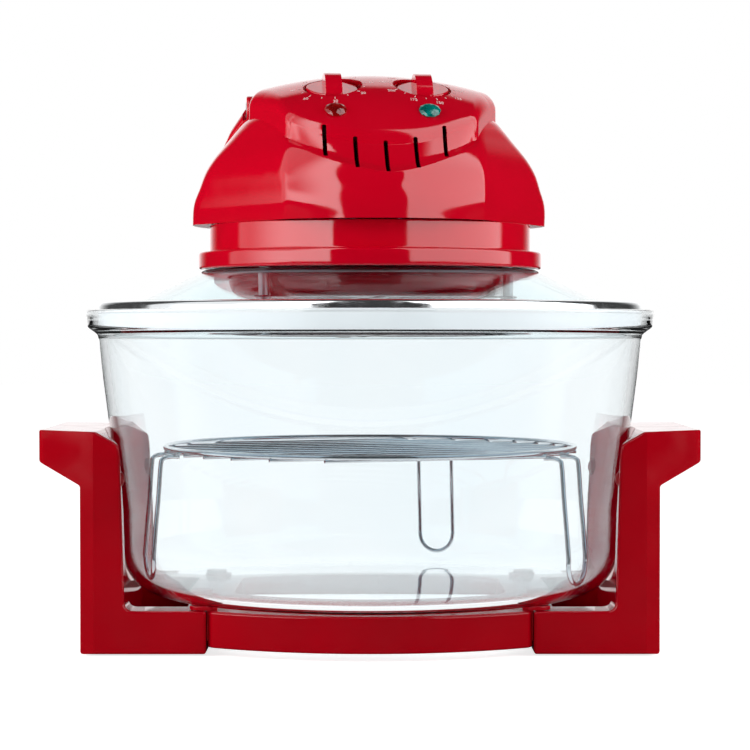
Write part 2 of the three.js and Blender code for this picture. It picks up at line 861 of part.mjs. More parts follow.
function coverScrew() {
  const headTop = neckTop - pillarShoulder - gap;
  const tip = coverBottom + coverBossHeight;
  return toSolid(turned([
    [0, headTop - screwHeadHeight],
    [screwHeadRadius, headTop - screwHeadHeight],
    [screwHeadRadius, headTop],
    [screwRadius, headTop],
    [screwRadius, tip],
    [0, tip],
  ], smallSides));
}

function cordInlet() {
  const z = (flangeTop + neckTop) / 2;
  const face = neckRadius + gap;
  const profile = [
    [inletBore, -inletDepth],
    [inletRadius, -inletDepth],
    [inletRadius, 0],
    [inletFlange, 0],
    [inletFlange, inletFlangeThickness],
    [inletRadius, inletFlangeThickness],
    [inletRadius - gap, inletLength],
    [inletBore, inletLength],
  ];
  return toSolid(turnedRing(profile, smallSides).rotateX(-quarter).translate(0, face, z));
}

// Head cover: the dome, the vent recess in its front and the control panel on top
// In plan it has a round nose between two creases, a flatter wing beside each crease, and a round back
function planShareAt(fromFront) {
  const wing = Math.cos(wingTurn - creaseTurn) / Math.cos(fromFront - wingTurn);
  return wing > 0 ? Math.min(wing, 1) : 1;
}

function planTurns() {
  const wingEnd = wingTurn * 2 - creaseTurn;
  const stretch = (from, to, steps) => {
    return Array.from({ length: steps }, (_, i) => THREE.MathUtils.lerp(from, to, i / steps));
  };
  const left = [
    ...stretch(0, creaseTurn, noseSteps),
    ...stretch(creaseTurn, wingEnd, wingSteps),
    ...stretch(wingEnd, Math.PI, backSteps),
  ];
  const right = [...left.slice(1), Math.PI].reverse().map((turn) => -turn);
  return [...left, ...right];
}

// A closed solid whose radius follows a profile of [radius, height] and the dome's plan
function domed(profile) {
  const rings = profile.map(([radius, height]) => planTurns().map((turn) => {
    const reach = radius * planShareAt(Math.abs(turn));
    return new THREE.Vector3(-reach * Math.sin(turn), -reach * Math.cos(turn), height);
  }));
  return toSolid(skinned(rings));
}

function dome(inset, lift) {
  const radius = domeRadius - inset;
  const height = domeHeight - inset - lift;
  return domed(domeRadiusShares.map((share, i) => [
    share * radius,
    coverBottom + lift + domeHeightShares[i] * height,
  ]));
}

function domeRadiusAt(z) {
  const share = (z - coverBottom) / domeHeight;
  const above = domeHeightShares.findIndex((height) => height > share);
  const low = domeHeightShares[above - 1];
  const mix = (share - low) / (domeHeightShares[above] - low);
  const radiusShare = domeRadiusShares[above - 1] * (1 - mix) + domeRadiusShares[above] * mix;
  return domeRadius * radiusShare;
}

const ridgeRadius = domeRadiusAt(coverBottom + ridgeHeight);

function ventFaceRadiusAt(rise) {
  const foot = ridgeRadius - ventRecessFoot;
  const head = domeRadiusAt(coverBottom + ventRecessHeight) - ventRecessHead;
  const share = (rise - ridgeHeight) / (ventRecessHeight - ridgeHeight);
  return foot + (head - foot) * share;
}

function ventCone(inset, lift) {
  const headRise = ventRecessHeight + (domeHeight - ventRecessHeight) / 2;
  return domed([
    [ventFaceRadiusAt(ridgeHeight) - inset, coverBottom + lift],
    [ventFaceRadiusAt(ridgeHeight) - inset, coverBottom + ridgeHeight],
    [ventFaceRadiusAt(headRise) - inset, coverBottom + headRise],
  ]);
}

function ridgeCut(inset) {
  const half = ventRecessHalfWidth + inset;
  const length = domeRadius * 1.5;
  const height = domeHeight;
  const slab = block(half * 2, length, height).translate(0, length / 2 - domeRadius / 4, height / 2 - inset);
  return toSolid(slab.rotateX(ridgeSlope).translate(0, -ridgeRadius, coverBottom + ridgeHeight));
}

function panelHeightAt(x, y) {
  const along = (y - panelApexOffset) / panelLength;
  const fall = panelFall * (1 - Math.sqrt(1 - along ** 2));
  return coverTopZ - fall - capSideFall * (x / capHalfWidth) ** 2;
}

function panelSlopeAt(y) {
  const along = (y - panelApexOffset) / panelLength;
  return Math.atan((panelFall / panelLength) * (-along / Math.sqrt(1 - along ** 2)));
}

// The raised cap: rings of its outline, rounded over at the edge, under the panel's curved surface
function cap(inset, sides) {
  const halfWidth = capHalfWidth - inset;
  const front = capFrontReach - inset;
  const back = capBackReach - inset;
  const edge = capEdgeRound / halfWidth;
  const rounds = [0, 1, 2].map((i) => (i / 2) * quarter);
  const inner = capRingShares.map((share) => ({ share: share * (1 - edge), drop: 0 }));
  const rim = rounds.map((round) => ({
    share: 1 - edge * (1 - Math.sin(round)),
    drop: capEdgeRound * (1 - Math.cos(round)),
  }));
  const rings = [...rim.reverse(), ...inner.reverse()].map(({ share, drop }) => {
    return Array.from({ length: sides }, (_, i) => {
      const angle = (i / sides) * Math.PI * 2;
      const reach = Math.sin(angle) < 0 ? front : back;
      const x = halfWidth * share * Math.cos(angle);
      const y = -capCentreOffset + reach * share * Math.sin(angle);
      return new THREE.Vector3(x, y, panelHeightAt(x, y) - drop - inset);
    });
  });
  const foot = rings[0].map((point) => new THREE.Vector3(point.x, point.y, coverBottom + capFoot));
  return toSolid(skinned([foot, ...rings]));
}

// Moves a piece made about z onto the sloping panel
function onPanel(geometry, x, y) {
  return geometry.rotateX(panelSlopeAt(y)).translate(x, y, panelHeightAt(x, y));
}

const recessDepth = knobSink + knobDisc + gap;
const handlePivotZ = coverBottom + handlePivotHeight;

function headCover() {
  const outer = unite(
    cut(dome(0, 0), ridgeCut(0)),
    ventCone(0, 0),
    cap(0, turnSides),
  );
  const lining = unite(
    cut(dome(coverWall, coverFlange), ridgeCut(coverWall)),
    ventCone(coverWall, coverFlange),
    cap(coverWall, liningSides),
  );
  const mouthRadius = domeRadius - coverFlangeWidth;
  const mouth = bar(mouthRadius, coverBottom - overrun, coverBottom + ridgeHeight, turnSides);
  let cover = cut(outer, lining, toSolid(mouth), handleRoom());
  for (const side of [-1, 1]) {
    const cup = bar(recessRadius + recessWall, -recessDepth - recessWall, overrun * 3, midSides);
    cover = unite(cover, toSolid(onPanel(cup, side * knobX, knobY)).intersect(outer));
    const boss = bar(handleBossRadius, handleBossFace - handleBossDepth, handleBossFace);
    boss.rotateY(side * quarter).translate(0, handlePivotY, handlePivotZ);
    cover = unite(cover, toSolid(boss));
  }
  for (const side of [-1, 1]) {
    const recess = bar(recessRadius, -recessDepth, recessRadius, midSides);
    const shaftHole = bar(knobShaftRadius + gap, -recessDepth - recessWall - overrun, 0);
    const lampHole = bar(lensStemRadius + gap, -coverWall * 3, lensHeight + overrun);
    const pinLength = handleBossFace + overrun;
    const pinHole = bar(handlePinRadius + gap, pinLength / 2, pinLength).rotateY(side * quarter);
    cover = cut(
      cover,
      toSolid(onPanel(recess, side * knobX, knobY)),
      toSolid(onPanel(shaftHole, side * knobX, knobY)),
      toSolid(onPanel(lampHole, side * lampX, lampY)),
      toSolid(pinHole.translate(0, handlePivotY, handlePivotZ)),
    );
  }
  for (const angle of pillarAngles) {
    const [x, y] = aroundFromFront(pillarCircle, angle);
    const bossTop = coverBottom + coverBossHeight + coverWall;
    const boss = bar(coverBossRadius, coverBottom + coverFlange / 2, bossTop);
    const hole = bar(screwHoleRadius, coverBottom - overrun, coverBottom + coverBossHeight + gap);
    cover = unite(cover, toSolid(boss.translate(x, y, 0)));
    cover = cut(cover, toSolid(hole.translate(x, y, 0)));
  }
  return cut(cover, ...vents());
}

// Room in the cover for the handle's hubs and the tops of its arms
function handleRoom() {
  const upper = block(domeRadius * 2, domeRadius * 2, domeHeight).translate(0, 0, handlePivotZ);
  return handleSolid(handleRoomGap).intersect(toSolid(upper));
}

function vents() {
  const middle = (ventCount - 1) / 2;
  return Array.from({ length: ventCount }, (_, i) => {
    const place = (i - middle) * ventPitch;
    const lift = ventSideRise * ((i - middle) / middle) ** 2;
    const low = coverBottom + ridgeHeight + gap + lift;
    const slot = block(ventWidth, domeRadius, ventHeight).translate(place, -domeRadius, low + ventHeight / 2);
    return toSolid(slot);
  });
}

// Knobs with a straight grip, each turned in its round recess
function knob() {
  const bottom = -knobSink - knobDisc;
  const disc = turned([
    [0, bottom - knobShaftLength],
    [knobShaftRadius, bottom - knobShaftLength],
    [knobShaftRadius, bottom],
    [knobRadius, bottom],
    [knobRadius, -knobSink - gap],
    [knobRadius - gap, -knobSink],
    [0, -knobSink],
  ], midSides);
  const rise = knobGripHeight + knobSink;
  const curve = (knobRadius ** 2 + rise ** 2) / (2 * rise);
  const span = Math.asin(knobRadius / curve);
  const crest = Array.from({ length: knobCrestSteps + 1 }, (_, i) => {
    const angle = span * (1 - (i * 2) / knobCrestSteps);
    return [curve * Math.sin(angle), curve * Math.cos(angle) - curve + knobGripHeight];
  });
  const base = [[-knobRadius, bottom], [knobRadius, bottom]];
  const grip = toSolid(frontSlab([...base, ...crest], knobGripWidth).rotateZ(quarter));
  const round = toSolid(bar(knobRadius, bottom, knobGripHeight + overrun, midSides));
  return unite(toSolid(disc), grip.intersect(round));
}

function knobPlaced(side) {
  const tilt = THREE.MathUtils.radToDeg(panelSlopeAt(knobY));
  const x = side * knobX;
  return knob().rotate([tilt, 0, 0]).translate([x, knobY, panelHeightAt(x, knobY)]);
}

const controlTop = -recessDepth - recessWall - gap;

function controlBody(geometry, side) {
  const hole = bar(knobShaftRadius + gap, controlTop - knobShaftLength - gap, controlTop + overrun);
  const x = side * knobX;
  return cut(toSolid(onPanel(geometry, x, knobY)), toSolid(onPanel(hole, x, knobY)));
}

function timerBody() {
  const body = block(timerWidth, timerDepth, timerHeight).translate(0, 0, controlTop - timerHeight / 2);
  return controlBody(body, -1);
}

function thermostatBody() {
  return controlBody(bar(thermostatRadius, controlTop - thermostatHeight, controlTop, midSides), 1);
}

// Indicator lamps: a domed lens with a stem, and a holder on the stem behind the panel
function lens(side) {
  const crown = cornerArc(0, lensSeat, lensRadius, lensHeight - lensSeat, 3)
    .map(([radius, height]) => [radius, lensSeat * 2 - height])
    .reverse();
  const profile = [
    [0, -lensStemLength],
    [lensStemRadius, -lensStemLength],
    [lensStemRadius, lensSeat],
    ...crown,
  ];
  return toSolid(onPanel(turned(profile, smallSides), side * lampX, lampY));
}

function lampHolder(side) {
  const top = -coverWall - lampHolderGap;
  const pocket = -lensStemLength - gap;
  const bore = lensStemRadius + gap;
  const profile = [
    [0, top - lampHolderLength],
    [lampHolderRadius, top - lampHolderLength],
    [lampHolderRadius, top],
    [bore, top],
    [bore, pocket],
    [0, pocket],
  ];
  return toSolid(onPanel(turned(profile, smallSides), side * lampX, lampY));
}

// Safety handle: a bail whose arms run from hubs on the cap around the back of the dome
function handlePathPoint(azimuth, heightShare, thickness) {
  const rear = coverBottom + handleRearHeight;
  const z = rear + heightShare * (handlePivotZ - rear);
  const radius = domeRadiusAt(z) + handleClearance + thickness / 2;
  return new THREE.Vector3(radius * Math.cos(azimuth), radius * Math.sin(azimuth), z);
}

// From the right hub, down the right arm, round the back and up the left arm
function handlePath() {
  const hub = new THREE.Vector3(handleBossFace + gap + handleHubThickness / 2, handlePivotY, handlePivotZ);
  const course = new THREE.CatmullRomCurve3(
    handleArmAzimuths.map((azimuth, i) => new THREE.Vector3(azimuth, handleArmHeightShares[i], 0)),
  );
  const steps = 10;
  const arm = Array.from({ length: steps + 1 }, (_, i) => {
    const { x: azimuth, y: heightShare } = course.getPoint(i / steps);
    const thickness = THREE.MathUtils.lerp(handleHubThickness, handleGripThickness, i / steps);
    return handlePathPoint(azimuth, Math.max(heightShare, 0), thickness);
  });
  const right = [hub, ...arm];
  const left = right.slice(0, -1).map((point) => new THREE.Vector3(-point.x, point.y, point.z));
  return new THREE.CatmullRomCurve3([...right, ...left.reverse()], false, 'centripetal');
}

// The bail and its two hubs, all grown by the same amount on every side
function handleSolid(grown) {
  const path = handlePath();
  const steps = 26;
  const sides = 10;
  const rings = Array.from({ length: steps + 1 }, (_, i) => {
    const place = i / steps;
    const centre = path.getPointAt(place);
    const tangent = path.getTangentAt(place);
    const outward = new THREE.Vector3(centre.x, centre.y, 0).normalize();
    outward.addScaledVector(tangent, -outward.dot(tangent)).normalize();
    const across = new THREE.Vector3().crossVectors(tangent, outward);
    const rear = 1 - Math.abs(place * 2 - 1);
    const thick = THREE.MathUtils.lerp(handleHubThickness, handleGripThickness, rear) / 2 + grown;
    const tall = THREE.MathUtils.lerp(handleArmHeight, handleGripHeight, rear) / 2 + grown;
    return Array.from({ length: sides }, (__, j) => {
      const angle = (j / sides) * Math.PI * 2;
      return centre.clone()
        .addScaledVector(outward, thick * Math.cos(angle))
        .addScaledVector(across, tall * Math.sin(angle));
    });
  });
  const hubs = [-1, 1].map((side) => {
    const outer = handleBossFace + gap + handleHubThickness + grown;
    const hub = bar(handleHubRadius + grown, handleBossFace + gap - grown, outer, midSides);
    return toSolid(hub.rotateY(side * quarter).translate(0, handlePivotY, handlePivotZ));
  });
  return unite(toSolid(skinned(rings)), ...hubs);
}

function carryHandle() {
  let handle = handleSolid(0);
  for (const side of [-1, 1]) {
    const inner = handleBossFace + gap;
    const outer = inner + handleHubThickness;
    const hole = bar(handlePinRadius + gap, inner - overrun, outer + overrun).rotateY(side * quarter);
    const sink = bar(handlePinHead + gap, outer - handlePinHeadHeight - gap, outer + overrun);
    handle = cut(
      handle,
      toSolid(hole.translate(0, handlePivotY, handlePivotZ)),
      toSolid(sink.rotateY(side * quarter).translate(0, handlePivotY, handlePivotZ)),
    );
  }
  return handle;
}

function handlePin(side) {
  const outer = handleBossFace + gap + handleHubThickness;
  const headFoot = outer - handlePinHeadHeight;
  const profile = [
    [0, handleBossFace - handleBossDepth],
    [handlePinRadius, handleBossFace - handleBossDepth],
    [handlePinRadius, headFoot],
    [handlePinHead, headFoot],
    [handlePinHead, outer],
    [0, outer],
  ];
  const pin = turned(profile, smallSides).rotateY(side * quarter);
  return toSolid(pin.translate(0, handlePivotY, handlePivotZ));
}

function handleSwitch() {
  const x = -(handleBossFace - handleBossDepth - gap - switchWidth / 2);
  const z = handlePivotZ - switchDrop;
  return toSolid(block(switchWidth, switchLength, switchHeight).translate(x, handlePivotY, z));
}

// Below the head: the clamp ring, the heater pan, the guard and the long bolts that carry the guard
function clampRing() {
  const top = lidCollarZ - lidGlass - gap;
  const outer = lidCollarRadius - lidSheet * 2;
  let ring = toSolid(turnedRing([
    [clampInnerRadius, top - clampSheet],
    [outer, top - clampSheet],
    [outer, top],
    [clampInnerRadius, top],
  ]));
  for (const angle of boltAngles) {
    const [x, y] = aroundFromFront(boltCircle, angle);
    const hole = bar(boltHoleRadius, top - clampSheet - overrun, top + overrun).translate(x, y, 0);
    ring = cut(ring, toSolid(hole));
  }
  return ring;
}

function heaterPan() {
  return toSolid(turnedRing([
    [shaftHoleRadius, panTop - panSheet],
    [panRadius - panSheet, panTop - panSheet],
    [panRadius - panSheet, panTop - panDepth],
    [panRadius, panTop - panDepth],
    [panRadius, panTop],
    [shaftHoleRadius, panTop],
  ]));
}

function fanGuard() {
  const corner = guardCorner;
  const flat = guardRadius - corner;
  const outside = cornerArc(flat, guardBottom + corner, corner, corner, 4);
  const inside = cornerArc(flat, guardBottom + corner, corner - panSheet, corner - panSheet, 4);
  let guard = toSolid(turned([
    [0, guardBottom],
    ...outside,
    [guardRadius, guardTop],
    [guardRadius - panSheet, guardTop],
    ...inside.reverse(),
    [0, guardBottom + panSheet],
  ]));
  const earLength = boltCircle + boltHeadRadius - flat;
  for (const angle of boltAngles) {
    const ear = block(guardEarWidth, earLength, panSheet).translate(0, -flat - earLength / 2, panSheet / 2);
    const [x, y] = aroundFromFront(boltCircle, angle);
    const hole = bar(boltHoleRadius, guardBottom - overrun, guardBottom + overrun).translate(x, y, 0);
    guard = unite(guard, toSolid(ear.rotateZ(angle).translate(0, 0, guardBottom)));
    guard = cut(guard, toSolid(hole));
  }
  const slotLength = guardSlotOuter - guardSlotInner;
  for (let i = 0; i < guardSlots; i += 1) {
    const slot = block(guardSlotWidth, slotLength, overrun * 2);
    slot.translate(0, guardSlotInner + slotLength / 2, guardBottom).rotateZ((i / guardSlots) * Math.PI * 2);
    guard = cut(guard, toSolid(slot));
  }
  return guard;
}

function guardBolt(angle) {
  const [x, y] = aroundFromFront(boltCircle, angle);
  const headTop = guardBottom - gap;
  return toSolid(turned([
    [0, headTop - boltHeadHeight],
    [boltHeadRadius, headTop - boltHeadHeight],
    [boltHeadRadius, headTop],
    [boltRadius, headTop],
    [boltRadius, headFloorTop + boltThread],
    [0, headFloorTop + boltThread],
  ], smallSides).translate(x, y, 0));
}

const heaterZ = guardBottom + heaterHeight;

function heaterTube() {
  const steps = 32;
  const sweep = Math.PI * 2 - heaterGapAngle * 2;
  const points = Array.from({ length: steps + 1 }, (_, i) => {
    const angle = quarter + heaterGapAngle + (i / steps) * sweep;
    return new THREE.Vector3(heaterRadius * Math.cos(angle), heaterRadius * Math.sin(angle), heaterZ);
  });
  return toSolid(tube(new THREE.CatmullRomCurve3(points), heaterTubeRadius, wireSides + 2, steps));
}

function heaterEnd(side) {
  const top = panTop - panSheet - gap;
  const bottom = heaterZ - heaterTubeRadius - gap * 2;
  const half = heaterEndLength / 2;
  const place = quarter - side * heaterGapAngle;
  const x = heaterRadius * Math.cos(place) - side * half / 2;
  const y = heaterRadius * Math.sin(place);
  const body = block(heaterEndLength, heaterEndWidth, top - bottom).translate(x, y, (top + bottom) / 2);
  const socket = bar(heaterTubeRadius + gap * 2, 0, heaterEndLength).rotateY(side * quarter);
  socket.rotateZ(-side * heaterGapAngle).translate(heaterRadius * Math.cos(place), y, heaterZ);
  const back = bar(heaterTubeRadius + gap * 2, -gap * 2, 0).rotateY(side * quarter);
  back.rotateZ(-side * heaterGapAngle).translate(heaterRadius * Math.cos(place), y, heaterZ);
  return cut(toSolid(body), toSolid(socket), toSolid(back));
}

// Motor on the head's floor, with one shaft for the hot air fan below and the cooling fan above
const motorBottom = headFloorTop + gap;
const motorTop = motorBottom + motorHeight;
const noseTop = motorTop + motorNoseHeight;
const hotFanZ = (panTop + guardBottom) / 2;
const coolFanZ = noseTop + coolingFanRise + fanHubHeight / 2;

function motor() {
  return toSolid(turnedRing([
    [shaftRadius + gap, motorBottom],
    [motorRadius, motorBottom],
    [motorRadius, motorTop],
    [motorNose, motorTop],
    [motorNose, noseTop],
    [shaftRadius + gap, noseTop],
  ], midSides));
}

function fanShaft() {
  const low = hotFanZ - fanHubHeight / 2;
  const high = coolFanZ + fanHubHeight / 2 + shaftTail;
  return toSolid(bar(shaftRadius, low, high, smallSides));
}

function fan(radius, z) {
  const bore = shaftRadius + gap;
  let wheel = toSolid(bar(fanHubRadius, -fanHubHeight / 2, fanHubHeight / 2, midSides));
  const length = radius - fanHubRadius / 2;
  for (let i = 0; i < fanBlades; i += 1) {
    const blade = block(length, fanBladeWidth, fanBladeSheet).rotateX(fanPitch);
    blade.translate(radius - length / 2, 0, 0).rotateZ((i / fanBlades) * Math.PI * 2);
    wheel = wheel.add(toSolid(blade));
  }
  return cut(wheel, toSolid(bar(bore, -fanBladeWidth, fanBladeWidth))).translate([0, 0, z]);
}

// Assembly
const oven = new THREE.Group();
const head = new THREE.Group();
head.rotation.z = headTurn;
oven.add(head);

add(oven, 'stand_ring', standRing(), standRed);
const bracket = sideBracket();
add(oven, 'side_bracket_right', bracket, standRed);
add(oven, 'side_bracket_left', mirroredX(bracket), standRed);

for (const [sideName, side] of [['left', -1], ['right', 1]]) {
  for (const [endName, end] of [['front', -1], ['back', 1]]) {
    const place = `${endName}_${sideName}`;
    const bumper = wallBumper(end);
    add(oven, `wall_bumper_${place}`, side < 0 ? mirroredX(bumper) : bumper, rubberRed);
    add(oven, `bowl_pad_${place}`, placed(bowlPad(), side * lugX, end * lugY), rubberRed);
    add(oven, `bracket_screw_${place}`, placed(standScrew(), side * standScrewX, end * lugY), zincSteel);
    const foot = placed(rubberFoot(), side * rubberFootX, end * rubberFootY);
    add(oven, `rubber_foot_${place}`, foot, blackRubber);
  }
}

add(oven, 'glass_bowl', glassBowl(), bowlGlassLook);
add(oven, 'rack_grid', rackGrid(), chrome);
for (const [i, name] of ['rack_leg_back', 'rack_leg_right', 'rack_leg_left'].entries()) {
  add(oven, name, rackLeg(rackLegAngles[i]), chrome);
}

add(oven, 'lid_glass', lidGlassCone(), lidGlassLook);
add(oven, 'lid_rim', lidRim(), polishedSteel);
add(oven, 'lid_seal', lidSeal(), silicone);

add(head, 'head_base', headBase(), headRed);
add(head, 'head_cover', headCover(), headRed);
for (const [i, name] of ['cover_screw_front', 'cover_screw_right', 'cover_screw_left'].entries()) {
  const [x, y] = aroundFromFront(pillarCircle, pillarAngles[i]);
  add(head, name, placed(coverScrew(), x, y), zincSteel);
}
add(head, 'cord_inlet', cordInlet(), blackPlastic);
add(head, 'timer_knob', knobPlaced(-1), headRed);
add(head, 'thermostat_knob', knobPlaced(1), headRed);
add(head, 'timer_body', timerBody(), whitePlastic);
add(head, 'thermostat_body', thermostatBody(), ceramic);
add(head, 'timer_lamp_lens', lens(-1), redLens);
add(head, 'heat_lamp_lens', lens(1), tealLens);
add(head, 'timer_lamp_holder', lampHolder(-1), whitePlastic);
add(head, 'heat_lamp_holder', lampHolder(1), whitePlastic);
add(head, 'carry_handle', carryHandle(), headRed);
add(head, 'handle_pin_left', handlePin(-1), zincSteel);
add(head, 'handle_pin_right', handlePin(1), zincSteel);
add(head, 'handle_switch', handleSwitch(), blackPlastic);
add(head, 'clamp_ring', clampRing(), zincSteel);
add(head, 'heater_pan', heaterPan(), polishedSteel);
add(head, 'fan_guard', fanGuard(), polishedSteel);
for (const [i, name] of ['guard_bolt_left', 'guard_bolt_right', 'guard_bolt_back'].entries()) {
  add(head, name, guardBolt(boltAngles[i]), chrome);
}
add(head, 'heater_tube', heaterTube(), heaterLook);
add(head, 'heater_end_left', heaterEnd(-1), ceramic);
add(head, 'heater_end_right', heaterEnd(1), ceramic);
add(head, 'motor', motor(), zincSteel);
add(head, 'fan_shaft', fanShaft(), zincSteel);
add(head, 'hot_air_fan', fan(fanRadius, hotFanZ), aluminium);
add(head, 'cooling_fan', fan(coolingFanRadius, coolFanZ), blackPlastic);

export default oven;
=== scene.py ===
import json
import math
from contextlib import contextmanager

import bmesh
import bpy
import numpy as np
from mathutils import Matrix, Vector


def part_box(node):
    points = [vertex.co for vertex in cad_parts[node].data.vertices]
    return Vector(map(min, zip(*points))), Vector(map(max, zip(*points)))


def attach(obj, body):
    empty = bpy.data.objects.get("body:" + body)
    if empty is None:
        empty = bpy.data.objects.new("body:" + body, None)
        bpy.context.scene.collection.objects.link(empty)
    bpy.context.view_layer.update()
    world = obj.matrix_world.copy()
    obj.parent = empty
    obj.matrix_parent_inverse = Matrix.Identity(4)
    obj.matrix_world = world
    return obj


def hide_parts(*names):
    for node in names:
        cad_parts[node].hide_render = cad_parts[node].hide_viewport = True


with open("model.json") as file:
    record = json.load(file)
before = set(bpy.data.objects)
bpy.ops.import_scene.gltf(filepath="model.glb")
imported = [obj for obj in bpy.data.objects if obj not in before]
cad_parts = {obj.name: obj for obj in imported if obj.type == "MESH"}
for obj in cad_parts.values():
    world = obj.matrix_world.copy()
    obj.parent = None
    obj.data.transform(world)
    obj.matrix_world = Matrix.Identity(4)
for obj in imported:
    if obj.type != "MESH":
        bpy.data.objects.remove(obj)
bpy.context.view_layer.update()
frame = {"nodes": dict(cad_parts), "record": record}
scene = bpy.context.scene
scene.view_settings.view_transform = "Standard"

MM = 0.001
TINY = 1e-6
SIDES = {"left": -1, "right": 1}
ENDS = {"front": -1, "back": 1}

# Between pieces that touch, and how far what cuts a piece reaches past it
GAP = 0.3
OVERCUT = 2

# Fineness of the meshes
GLASS_SIDES = 192
TURN_SIDES = 160
MID_SIDES = 64
SMALL_SIDES = 32
WIRE_SIDES = 14
DENSE_STEP = 2.5
SHARE_OF_SIDE = 0.49
UPRIGHT = 0.99
FLAT = math.radians(0.5)
SHALLOW = math.radians(8)

# The middle of a noise's values, where most of them are
NOISE_LIMITS = (0.35, 0.65)

# The head stands turned a little on its bowl
HEAD_TURN = math.radians(6)
to_head = Matrix.Rotation(HEAD_TURN, 4, "Z")


# Meshes: every maker below returns vertices in millimetres and faces
def around(sides):
    return [2 * math.pi * side / sides for side in range(sides)]


def ring_point(radius, angle, height):
    return radius * math.cos(angle), radius * math.sin(angle), height


def turned(profile, sides=TURN_SIDES, ring=False):
    vertices, faces, rows = [], [], []
    for radius, height in profile:
        start = len(vertices)
        if radius < TINY:
            rows.append([start] * sides)
            vertices.append((0, 0, height))
            continue
        rows.append(list(range(start, start + sides)))
        vertices += [ring_point(radius, angle, height) for angle in around(sides)]
    pairs = list(zip(rows, rows[1:]))
    if ring:
        pairs.append((rows[-1], rows[0]))
    for lower, upper in pairs:
        for side in range(sides):
            after = (side + 1) % sides
            corners = [lower[side], lower[after], upper[after], upper[side]]
            face = list(dict.fromkeys(corners))
            if len(face) > 2:
                faces.append(face)
    return vertices, faces


# Rounds each corner of a line of (across, up) points by its own radius
def rounded(points, radii, steps=5, closed=False):
    count = len(points)
    line = []
    for index, radius in enumerate(radii):
        here = Vector(points[index])
        at_end = not closed and index in (0, count - 1)
        if radius == 0 or at_end:
            line.append(tuple(here))
            continue
        back = Vector(points[index - 1]) - here
        ahead = Vector(points[(index + 1) % count]) - here
        angle = back.angle(ahead)
        reach = radius / math.tan(angle / 2)
        reach = min(reach, back.length * SHARE_OF_SIDE, ahead.length * SHARE_OF_SIDE)
        start = here + back.normalized() * reach
        end = here + ahead.normalized() * reach
        for step in range(steps + 1):
            share = step / steps
            before = start.lerp(here, share)
            after = here.lerp(end, share)
            line.append(tuple(before.lerp(after, share)))
    return line


# Cuts long stretches of a profile into short ones, so that shading follows them
def dense(points):
    line = []
    for start, end in zip(points, points[1:]):
        start, end = Vector(start), Vector(end)
        parts = max(1, math.ceil((end - start).length / DENSE_STEP))
        line += [tuple(start.lerp(end, part / parts)) for part in range(parts)]
    line.append(tuple(points[-1]))
    return line


def dense_ring(points):
    return dense([*points, points[0]])[:-1]


def bar(radius, start, end):
    return [(0, start), (radius, start), (radius, end), (0, end)]


# A quarter ellipse from its low inner end to its high outer end
def corner_arc(centre_radius, centre_height, reach, rise, steps=12):
    arc = []
    for step in range(steps + 1):
        angle = math.pi / 2 * step / steps
        arc.append((centre_radius + reach * math.sin(angle), centre_height - rise * math.cos(angle)))
    return arc


# A flat outline extruded between two levels; axes says which of x, y, z the outline and the depth use
def slab(outline, start, end, axes="xyz"):
    order = ["xyz".index(axis) for axis in axes]
    count = len(outline)
    vertices = []
    for level in (start, end):
        for across, up in outline:
            point = [0, 0, 0]
            point[order[0]], point[order[1]], point[order[2]] = across, up, level
            vertices.append(tuple(point))
    faces = [list(range(count)), list(range(2 * count - 1, count - 1, -1))]
    for index in range(count):
        after = (index + 1) % count
        faces.append([index, after, after + count, index + count])
    return vertices, faces


def box_between(lowest, highest):
    left, front, bottom = lowest
    right, back, top = highest
    return slab([(left, front), (right, front), (right, back), (left, back)], bottom, top)


# Rings of points joined into a tube with flat ends, or into a loop
def skinned(rings, loop=False):
    count = len(rings[0])
    vertices = [tuple(point) for ring in rings for point in ring]
    faces = []
    total = len(rings)
    for ring in range(total if loop else total - 1):
        start = ring * count
        following = ((ring + 1) % total) * count
        for side in range(count):
            after = (side + 1) % count
            faces.append([start + side, start + after, following + after, following + side])
    if not loop:
        last = (total - 1) * count
        faces.append(list(range(count - 1, -1, -1)))
        faces.append(list(range(last, last + count)))
    return vertices, faces


# A round wire along points, with its section carried along without twist
def wire(points, radius, sides=WIRE_SIDES, loop=False):
    count = len(points)
    rings = []
    across = None
    for index, point in enumerate(points):
        before = points[index - 1] if loop or index else point
        after = points[(index + 1) % count] if loop or index + 1 < count else point
        along = (after - before).normalized()
        if across is None:
            across = along.orthogonal().normalized()
        across = (across - along * across.dot(along)).normalized()
        other = along.cross(across)
        rings.append([
            point + (across * math.cos(angle) + other * math.sin(angle)) * radius for angle in around(sides)
        ])
    return skinned(rings, loop)


# A smooth line through points, as many points for each stretch
def smooth_line(points, steps):
    padded = [points[0] * 2 - points[1], *points, points[-1] * 2 - points[-2]]
    line = []
    for index in range(len(points) - 1):
        a, b, c, d = padded[index:index + 4]
        for step in range(steps):
            t = step / steps
            line.append(
                (b * 2 + (c - a) * t + (a * 2 - b * 5 + c * 4 - d) * t ** 2
                 + (b * 3 - a - c * 3 + d) * t ** 3) / 2
            )
    line.append(points[-1])
    return line


# Objects
@contextmanager
def opened(mesh):
    work = bmesh.new()
    work.from_mesh(mesh)
    yield work
    work.to_mesh(mesh)
    work.free()


def new_object(name, made, matrix=None):
    vertices, faces = made
    mesh = bpy.data.meshes.new(name)
    mesh.from_pydata([tuple(value * MM for value in vertex) for vertex in vertices], [], faces)
    piece = bpy.data.objects.new(name, mesh)
    scene.collection.objects.link(piece)
    if matrix is not None:
        scaled = matrix.copy()
        scaled.translation *= MM
        mesh.transform(scaled)
    with opened(mesh) as work:
        bmesh.ops.remove_doubles(work, verts=work.verts, dist=TINY)
        bmesh.ops.recalc_face_normals(work, faces=work.faces)
    return piece


